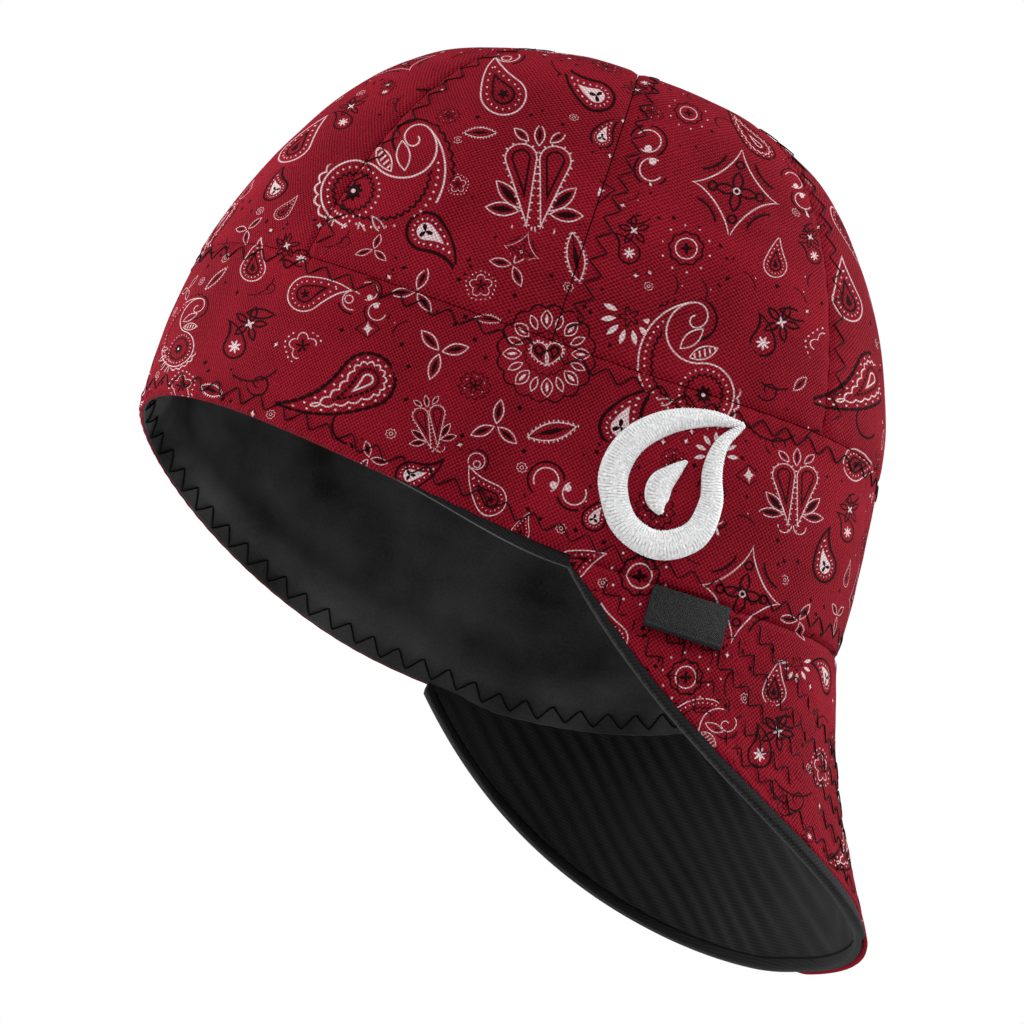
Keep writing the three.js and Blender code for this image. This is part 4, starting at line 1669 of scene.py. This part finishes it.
    def lining(self) -> Object:
        """Builds the lining band with soft folds and a turned hem, its outer faces darkened with the quilted
        cotton as painted shade.
        """
        form = self.tailor.form
        top = 1 - self.seam_gap / 2 / form.band_height
        rows = np.concatenate([[0.0, 0.01, 0.022], np.linspace(0.04, 1, 34)])
        around = np.linspace(0, 2 * pi, self.lining_columns, endpoint=False)
        row, angle = np.meshgrid(rows, around, indexing="ij")
        share = blend_between(self.hem_share(angle), top, row)
        outer, inner = (self.lining_face(angle, share, inner) for inner in (False, True))
        cloth = np.stack([angle * self.lining_run, share * form.band_height], -1)
        wall = ClothWall("band_lining", outer, inner, cloth, joined=True)
        piece = wall.build()
        # Painted shade: the outer faces, whose hem strip shows at the rim and faces the lights, take the
        # darker quilted cotton.
        for material in (self.tailor.cloths.lining, self.tailor.cloths.canvas):
            piece.data.materials.append(material)
        for face in piece.data.polygons[: wall.outer_faces]:
            face.material_index = 1
        self.tailor.finish(piece, ["lining_band"], "black_cotton")
        return piece

    def hem_stitching(self) -> Object:
        """Sews the zigzag that holds the lining's hem."""
        form = self.tailor.form
        angle = np.linspace(-pi, pi, 700)
        height = blend_between(2.9, 3.9, 0.5 + 0.5 * np.cos(angle))
        share = self.hem_share(angle) + height / form.band_height

        def inner(a: Array, s: Array) -> Array:
            """Returns the lining's inner face."""
            return self.lining_face(a, s, True)

        path = self.tailor.path(inner, angle, share, BAND_STEP, 0.15, inside=True)
        return self.tailor.sew_black(
            "hem_stitching", [path], 8.6, 2.9, 0.27, lift=0.45, sink=0.0, uneven=0.18,
        )

    def build(self) -> list[Object]:
        """Builds and dresses the band."""
        return [self.cloth(), self.topstitching(), self.lining(), self.hem_stitching()]


@dataclass
class Bill:
    """The soft hanging bill: printed upper cloth, quilted black underside and quilting rows."""

    tailor: Tailor
    seam_gap: float = 0.05
    end_length: float = 3.0
    lip: float = 1.0
    roll_over: float = 5.2
    roll_step: float = 0.3
    thickness: float = 1.0
    under_depth: float = 1.3
    columns: int = 250
    rows: int = 74
    under_columns: int = 380
    under_rows: int = 130
    quilt_rows: int = 5
    quilt_spacing: float = 9.0
    quilt_first: float = 9.5
    quilt_half_width: float = 2.6
    quilt_pitch: float = 6.6
    edge_strip: float = 4.2
    edge_roll: float = 1.3
    ridge_pitch: float = 4.7
    ridge_height: float = 0.4
    roll_start: float = radians(15)
    roll_ramp: float = radians(12)

    SOFT = ((0.4, 40, 61), (0.15, 14, 62))

    def ends(self) -> float:
        """Returns the angle at which the bill stops on each side."""
        form = self.tailor.form
        return form.bill_half_angle * (1 - self.end_length / form.bill_length) ** (1 / form.bill_taper)

    def set_back(self, angle: Array, upper: bool) -> Array:
        """Returns how far a layer's rim lies behind the bill's.

        At the front the printed cloth is the longer one, and at the sides the black one rolls over its rim.
        """
        ramp = np.clip((np.abs(angle) - self.roll_start) / self.roll_ramp, 0, 1)
        side = ramp * ramp * (3 - 2 * ramp)
        if not upper:
            return self.lip * (1 - side)
        wide = self.roll_over * (1 - 0.4 * np.sin(angle) ** 2)
        return side * np.minimum(wide, 0.25 * self.tailor.form.bill_reach(angle))

    def quilting(self, angle: Array, distance: Array, depth: float) -> Array:
        """Returns how far the cloth lies below its puffed surface, along the quilting rows."""
        form = self.tailor.form
        from_rim = form.bill_reach(angle) - distance
        run = angle * CLOTH_RUN
        swing = self.quilt_half_width * (2 * np.abs(np.mod(run / self.quilt_pitch, 1) * 2 - 1) - 1)
        total = np.zeros_like(distance)
        for index in range(self.quilt_rows):
            row = self.quilt_first + index * self.quilt_spacing
            total = np.maximum(total, bell(from_rim - row - swing, 1.3))
        return depth * total

    def grid(self, upper: bool) -> tuple[Array, Array]:
        """Returns the angles of a layer's points and their distances from its rim.

        The rows lie close at the rim, and one row lies where the black cloth's roll ends.
        """
        column = np.linspace(-self.ends(), self.ends(), self.columns if upper else self.under_columns)
        reach = self.tailor.form.bill_reach(column) - self.set_back(column, upper)
        strip = np.clip(self.set_back(column, True) - self.set_back(column, upper), 0.8, 0.5 * reach)
        near = np.array([0, 0.1, 0.3, 0.6, 1.0])[:, None]
        far = np.linspace(0, 1, self.rows if upper else self.under_rows)[:, None]
        rest = strip + far * (reach - strip - self.seam_gap)
        from_rim = np.concatenate([near * (strip - self.roll_step), rest])
        return np.broadcast_to(column, from_rim.shape).copy(), from_rim

    def layer(self, name: str, upper: bool) -> ClothWall:
        """Returns the printed or the black layer of the bill as a wall with its own relief."""
        form = self.tailor.form
        angle, from_rim = self.grid(upper)
        distance = form.bill_reach(angle) - self.set_back(angle, upper) - from_rim
        outward = form.outward(form.bill, angle, -distance, BILL_STEP)
        base = form.bill(angle, -distance)
        fade = np.clip(from_rim / 2, 0, 1) * np.clip(distance / 3, 0, 1)
        soft = waves(base, *self.SOFT) * fade
        if upper:
            seam = bell(distance - self.seam_gap, 1.0)
            height = soft - self.quilting(angle, distance, 0.3) * fade
            height -= 0.35 * bell(from_rim, 0.45) + 1.1 * seam
            depth = self.thickness - 0.4 * bell(from_rim, 1.0) + 0.5 * seam
        else:
            groove = 0.5 * bell(from_rim - self.edge_strip, 0.45)
            inside = np.clip((from_rim - self.edge_strip) / 1.2, 0, 1) * np.clip(distance / 4, 0, 1)
            run = 0.69 * base[..., 2] - 0.62 * base[..., 1] - 0.37 * np.hypot(base[..., 0], 5.0)
            wave = np.sin(2 * pi * run / self.ridge_pitch + 0.9 * ripple(base, 46, 63))
            ridges = self.ridge_height * wave * (0.75 + 0.35 * ripple(base, 30, 64)) * inside
            roll = self.edge_roll * bell(from_rim - 1.6, 1.7) - 0.9 * bell(from_rim, 0.5)
            depth = self.under_depth + self.thickness + ridges - groove + roll + soft * 0.4
            rolled = self.set_back(angle, True) - self.set_back(angle, False) - from_rim
            rise = (self.under_depth - 0.25) * np.clip(rolled / self.roll_step, 0, 1)
            height = rise - self.under_depth - 0.5 * bell(from_rim, 0.3)
        cloth = np.stack([angle * CLOTH_RUN, distance + 200.0], -1)
        outer = base + outward * height[..., None]
        return ClothWall(name, outer, base - outward * depth[..., None], cloth)

    def flat_area(self, upper: bool) -> float:
        """Returns the area of a flat layer in square metres."""
        angle, from_rim = self.grid(upper)
        form = self.tailor.form
        points = form.bill(angle, from_rim + self.set_back(angle, upper) - form.bill_reach(angle))
        across = np.diff(points, axis=1)[:-1]
        down = np.diff(points, axis=0)[:, :-1]
        return float(np.linalg.norm(np.cross(across, down), axis=-1).sum()) / SQUARE_MM_IN_M

    def upper(self) -> Object:
        """Builds the printed upper cloth."""
        wall = self.layer("bill_upper_cloth", True)
        piece = self.tailor.dress(wall, self.tailor.cloths.duck, "bill_top", "red_duck", printed=True)
        self.flat_area(True)
        return piece

    def lower(self) -> Object:
        """Builds the quilted black underside, whose edge rolls over the printed cloth's rim at the sides."""
        wall = self.layer("bill_underside_cloth", False)
        piece = self.tailor.dress(wall, self.tailor.cloths.canvas, "bill_underside", "black_cotton")
        self.flat_area(False)
        return piece

    def quilting_rows(self) -> list[Object]:
        """Sews the quilting rows on the upper cloth and the topstitch round the underside."""
        form = self.tailor.form
        paths = []
        for index in range(self.quilt_rows):
            from_rim = self.quilt_first + index * self.quilt_spacing
            angle = np.linspace(-1.48, 1.48, 900)
            angle = angle[form.bill_reach(angle) - from_rim > 3.5]
            height = from_rim - form.bill_reach(angle)
            paths.append(self.tailor.path(form.bill, angle, height, BILL_STEP))
        rows = self.tailor.sew_black(
            "bill_quilting", paths, self.quilt_pitch, self.quilt_half_width, lift=0.2, sink=-0.1,
        )

        def under(a: Array, h: Array) -> Array:
            """Returns the underside's visible face."""
            depth = self.under_depth + self.thickness
            return form.bill(a, h) - form.outward(form.bill, a, h, BILL_STEP) * depth

        angle = np.linspace(-1.45, 1.45, 600)
        height = self.set_back(angle, False) + self.edge_strip - form.bill_reach(angle)
        angle, height = angle[height < -1.5], height[height < -1.5]
        path = self.tailor.path(under, angle, height, BILL_STEP, -0.1, inside=True)
        edge = self.tailor.sew_black("underside_topstitch", [path], 5.0, 0.0, 0.24, lift=0.3, sink=-0.2)
        return [rows, edge]

    def build(self) -> list[Object]:
        """Builds and dresses the bill."""
        return [self.upper(), self.lower(), *self.quilting_rows()]


@dataclass
class WovenTab:
    """The small bare tab of black ribbon, folded at its lower end."""

    tailor: Tailor
    width: float = 23.0
    drop: float = 12.5
    thickness: float = 0.9
    angle: float = radians(65.3)
    seam_gap: float = 0.3
    bill_gap: float = 0.6

    def build(self) -> list[Object]:
        """Builds the tab as a folded ribbon over the bill's upper cloth."""
        form = self.tailor.form
        before, after = form.edge(self.angle + np.array([-ANGLE_STEP, ANGLE_STEP]))
        half = self.width / 2 / (dist(before, after) / (2 * ANGLE_STEP))
        ramp = np.linspace(0, 1, 30)
        row, column = np.meshgrid(eased(ramp), np.linspace(-1, 1, 49), indexing="ij")
        angle = self.angle + half * column
        distance = blend_between(self.drop + self.bill_gap, self.bill_gap, row)
        outward = form.outward(form.bill, angle, -distance, BILL_STEP)
        base = form.bill(angle, -distance)
        fold = distance - self.bill_gap
        rounding = 0.4 * bell(self.drop - fold, 0.5)
        groove = 0.12 * bell(self.drop - fold - 1.6, 0.4)
        hang = fold / self.drop
        lift = 0.3 * np.sin(pi * hang) + 0.7 * hang ** 2 * (1 + 0.5 * column) + 0.1 * column * column
        outer = base + outward * (self.seam_gap + self.thickness + lift - rounding - groove)[..., None]
        inner = base + outward * (self.seam_gap + rounding * 0.5 + lift * hang)[..., None]
        cloth = np.stack([column * self.width / 2, distance + 60], -1)
        wall = ClothWall("woven_tab", outer, inner, cloth)
        piece = self.tailor.dress(wall, self.tailor.cloths.tab, "label_tab", "black_tab")
        self.width * MM
        self.drop * MM
        return [piece]


@dataclass
class Embroidery:
    """A raised paisley drop in white satin stitch on the band, over the wearer's right temple."""

    tailor: Tailor
    angle: float = radians(73.5)
    share: float = 0.52
    stitch_pitch: float = 0.9
    thread_radius: float = 0.29
    padding: float = 1.1
    lean: float = radians(2)
    size: float = 1.2

    RING = (
        (13.5, 17.5, 0.7),
        (5.5, 16.6, 2.1),
        (-4.0, 12.2, 3.0),
        (-11.0, 4.5, 3.4),
        (-12.4, -5.0, 3.6),
        (-7.0, -13.4, 3.6),
        (2.0, -15.6, 3.6),
        (9.6, -10.8, 3.4),
        (11.2, -2.6, 3.0),
        (9.4, 4.8, 2.5),
        (9.8, 11.6, 1.7),
        (13.5, 17.5, 0.7),
    )
    SEED_DROP = ((2.6, 4.6, 0.4), (0.6, 1.6, 1.9), (-1.4, -2.2, 3.0), (-1.2, -6.0, 2.8), (0.6, -8.8, 0.7))

    def strip(self, knots: Knots, samples: int) -> tuple[Array, Array]:
        """Returns a smooth centre line and its half width through the knots."""
        values = np.array(knots)
        run = np.concatenate([[0], np.cumsum(np.linalg.norm(np.diff(values[:, :2], axis=0), axis=1))])
        smooth = np.linspace(0, run[-1], samples)
        padded = np.concatenate([[2 * values[0] - values[1]], values, [2 * values[-1] - values[-2]]])
        index = np.clip(np.searchsorted(run, smooth, side="right") - 1, 0, len(knots) - 2)
        t = ((smooth - run[index]) / (run[index + 1] - run[index]))[:, None]
        a, b, c, d = (padded[index + offset] for offset in range(4))
        bend = (2 * a - 5 * b + 4 * c - d) * t ** 2 + (3 * b - a - 3 * c + d) * t ** 3
        line = 0.5 * (2 * b + (c - a) * t + bend)
        return line[:, :2], np.maximum(line[:, 2], 0.3)

    def lay(self, flat: Array, lift: Array | float) -> tuple[Array, Array]:
        """Lays flat design points on the band and returns them and the outward direction."""
        form = self.tailor.form
        flat = flat * self.size
        turned = np.stack([
            flat[..., 0] * cos(self.lean) + flat[..., 1] * sin(self.lean),
            flat[..., 1] * cos(self.lean) - flat[..., 0] * sin(self.lean),
        ], -1)
        middle = np.array([self.angle])
        run = float(form.run_of_angle(form.band, middle, np.array([self.share]))[0])
        angle = self.angle - turned[..., 0] / run
        share = self.share + turned[..., 1] / form.band_height
        outward = form.outward(form.band, angle, share, BAND_STEP)
        return form.band(angle, share) + outward * np.asarray(lift)[..., None], outward

    def path(self, knots: Knots) -> SewnPath:
        """Returns a satin path on the band, with its half widths kept in the across vectors."""
        line, half = self.strip(knots, 320)
        points, outward = self.lay(line, np.zeros(len(line)))
        across = unit(np.cross(outward, unit(np.gradient(points, axis=0))))
        return SewnPath(points, across * half[:, None] * self.size, outward)

    def pad(self, name: str, path: SewnPath) -> Object:
        """Builds the padding that shows between the satin threads."""
        share = np.linspace(-0.97, 0.97, 13)
        lift = 0.1 + (self.padding - 0.15) * (1 - share ** 4)
        middle = path.points[None] + path.across[None] * share[:, None, None]
        outer = middle + path.outward[None] * lift[:, None, None]
        inner = middle - path.outward[None] * 0.2
        run = np.arange(len(path.points))[None] * 0.3
        cloth = np.stack(np.broadcast_arrays(run, share[:, None] * 4), -1)
        return ClothWall(name, outer[::-1], inner[::-1], cloth[::-1]).build()

    def build(self) -> list[Object]:
        """Builds the padded satin strips."""
        thread = self.tailor.cloths.white_thread
        pieces = []
        for name, knots in (("ring", self.RING), ("drop", self.SEED_DROP)):
            path = self.path(knots)
            pad = self.pad(f"embroidery_padding_{name}", path)
            pad.data.materials.append(thread)
            satin = self.tailor.stitches.sew(
                f"embroidery_satin_{name}", [path], thread, self.stitch_pitch, 1.0, self.thread_radius,
                lift=self.padding, sink=0.1, steps=12, uneven=0.07,
            )
            pieces += [self.tailor.finish(piece, [], "red_duck") for piece in (pad, satin)]
        return pieces


@dataclass(frozen=True)
class Studio:
    """Pale floor, soft lights and a camera at the photograph's viewing angle."""

    target: tuple[float, float, float] = (-8.07, -4.9, 19.96)
    azimuth: float = radians(100.33)
    elevation: float = radians(-20.07)
    roll: float = radians(17.70)
    distance: float = 1116.88
    lens: float = 137.07
    floor_height: float = -450.0
    light_above: float = 0.62
    light_below: float = 0.14

    def axes(self) -> tuple[Vector, Vector, Vector]:
        """Returns the camera's right, up and backward directions."""
        flat = cos(self.elevation)
        back = Vector((-sin(self.azimuth) * flat, -cos(self.azimuth) * flat, sin(self.elevation)))
        level = Vector((0, 0, 1)).cross(back).normalized()
        rise = back.cross(level)
        right = level * cos(self.roll) + rise * sin(self.roll)
        return right, back.cross(right), back

    def build(self) -> None:
        """Puts up the camera, the lights, the floor and the pale surroundings."""
        scene = bpy.context.scene
        right, up, back = self.axes()
        camera = bpy.data.objects.new("camera", bpy.data.cameras.new("camera"))
        scene.collection.objects.link(camera)
        camera.data.lens = self.lens
        camera.data.sensor_width = 36
        camera.data.clip_end = 20
        place = Vector(self.target) * MM + back * self.distance * MM
        turned = Matrix((right, up, back)).transposed().to_4x4()
        camera.matrix_world = Matrix.Translation(place) @ turned
        scene.camera = camera
        scene.view_settings.view_transform = "Standard"
        world = bpy.data.worlds.new("pale room")
        world.use_nodes = True
        tree = world.node_tree
        ray = add_node(tree, "ShaderNodeLightPath")
        direction = add_node(tree, "ShaderNodeTexCoord")
        parts = add_node(tree, "ShaderNodeSeparateXYZ", {0: direction.outputs["Generated"]})
        spread = (self.light_above - self.light_below) / 2
        room = Field(tree, parts.outputs[2]).times_plus(spread, self.light_below + spread)
        strength = Field(tree, ray.outputs["Is Camera Ray"]).times_plus(1 - room, room)
        feed(tree.nodes["Background"], {0: (1, 1, 1, 1), 1: strength})
        scene.world = world
        self.light("left_softbox", -right * 0.95 + up * 0.35 - back * 0.25, 0.9, 17.0)
        self.light("right_softbox", right * 1.0 + up * 0.25 - back * 0.3, 0.9, 17.0)
        self.light("top_softbox", up * 1.1 + back * 0.3, 0.8, 8.0)
        self.floor()

    def light(self, name: str, offset: Vector, size: float, watts: float) -> None:
        """Adds a soft area light that faces the cap."""
        lamp = bpy.data.lights.new(name, "AREA")
        lamp.shape = "DISK"
        lamp.size = size
        lamp.energy = watts
        holder = bpy.data.objects.new(name, lamp)
        bpy.context.scene.collection.objects.link(holder)
        target = Vector(self.target) * MM
        holder.location = target + offset
        holder.rotation_euler = (target - holder.location).to_track_quat("-Z", "Y").to_euler()

    def floor(self) -> None:
        """Adds the pale floor below the camera."""
        side = 6.0
        height = self.floor_height * MM
        corners = ((-side, -side), (side, -side), (side, side), (-side, side))
        points = np.array([(x, y, height) for x, y in corners])
        piece = linked("floor", plain_mesh("floor", points, np.array([[0, 1, 2, 3]], np.int32)))
        material, _ = new_material("pale floor", {"Base Color": (0.86, 0.86, 0.86, 1), "Roughness": 0.9})
        piece.data.materials.append(material)


def main() -> None:
    """Builds and dresses the cap."""
    logging.basicConfig(level=logging.INFO, format="%(name)s %(message)s")
    form = CapForm()
    cloths = Wardrobe.prepare()
    studio = Studio()
    seen_right, seen_up, _ = studio.axes()
    bandana = BandanaPrint(form, np.array(seen_right), np.array(seen_up))
    bandana.lay_out()
    tailor = Tailor(form, cloths, bandana, StitchWork())
    for part in (Crown(tailor), SideBand(tailor), Bill(tailor), WovenTab(tailor), Embroidery(tailor)):
        pieces = part.build()
        log.info("%s: %d pieces", type(part).__name__, len(pieces))
    studio.build()


if __name__ == "__main__":
    main()
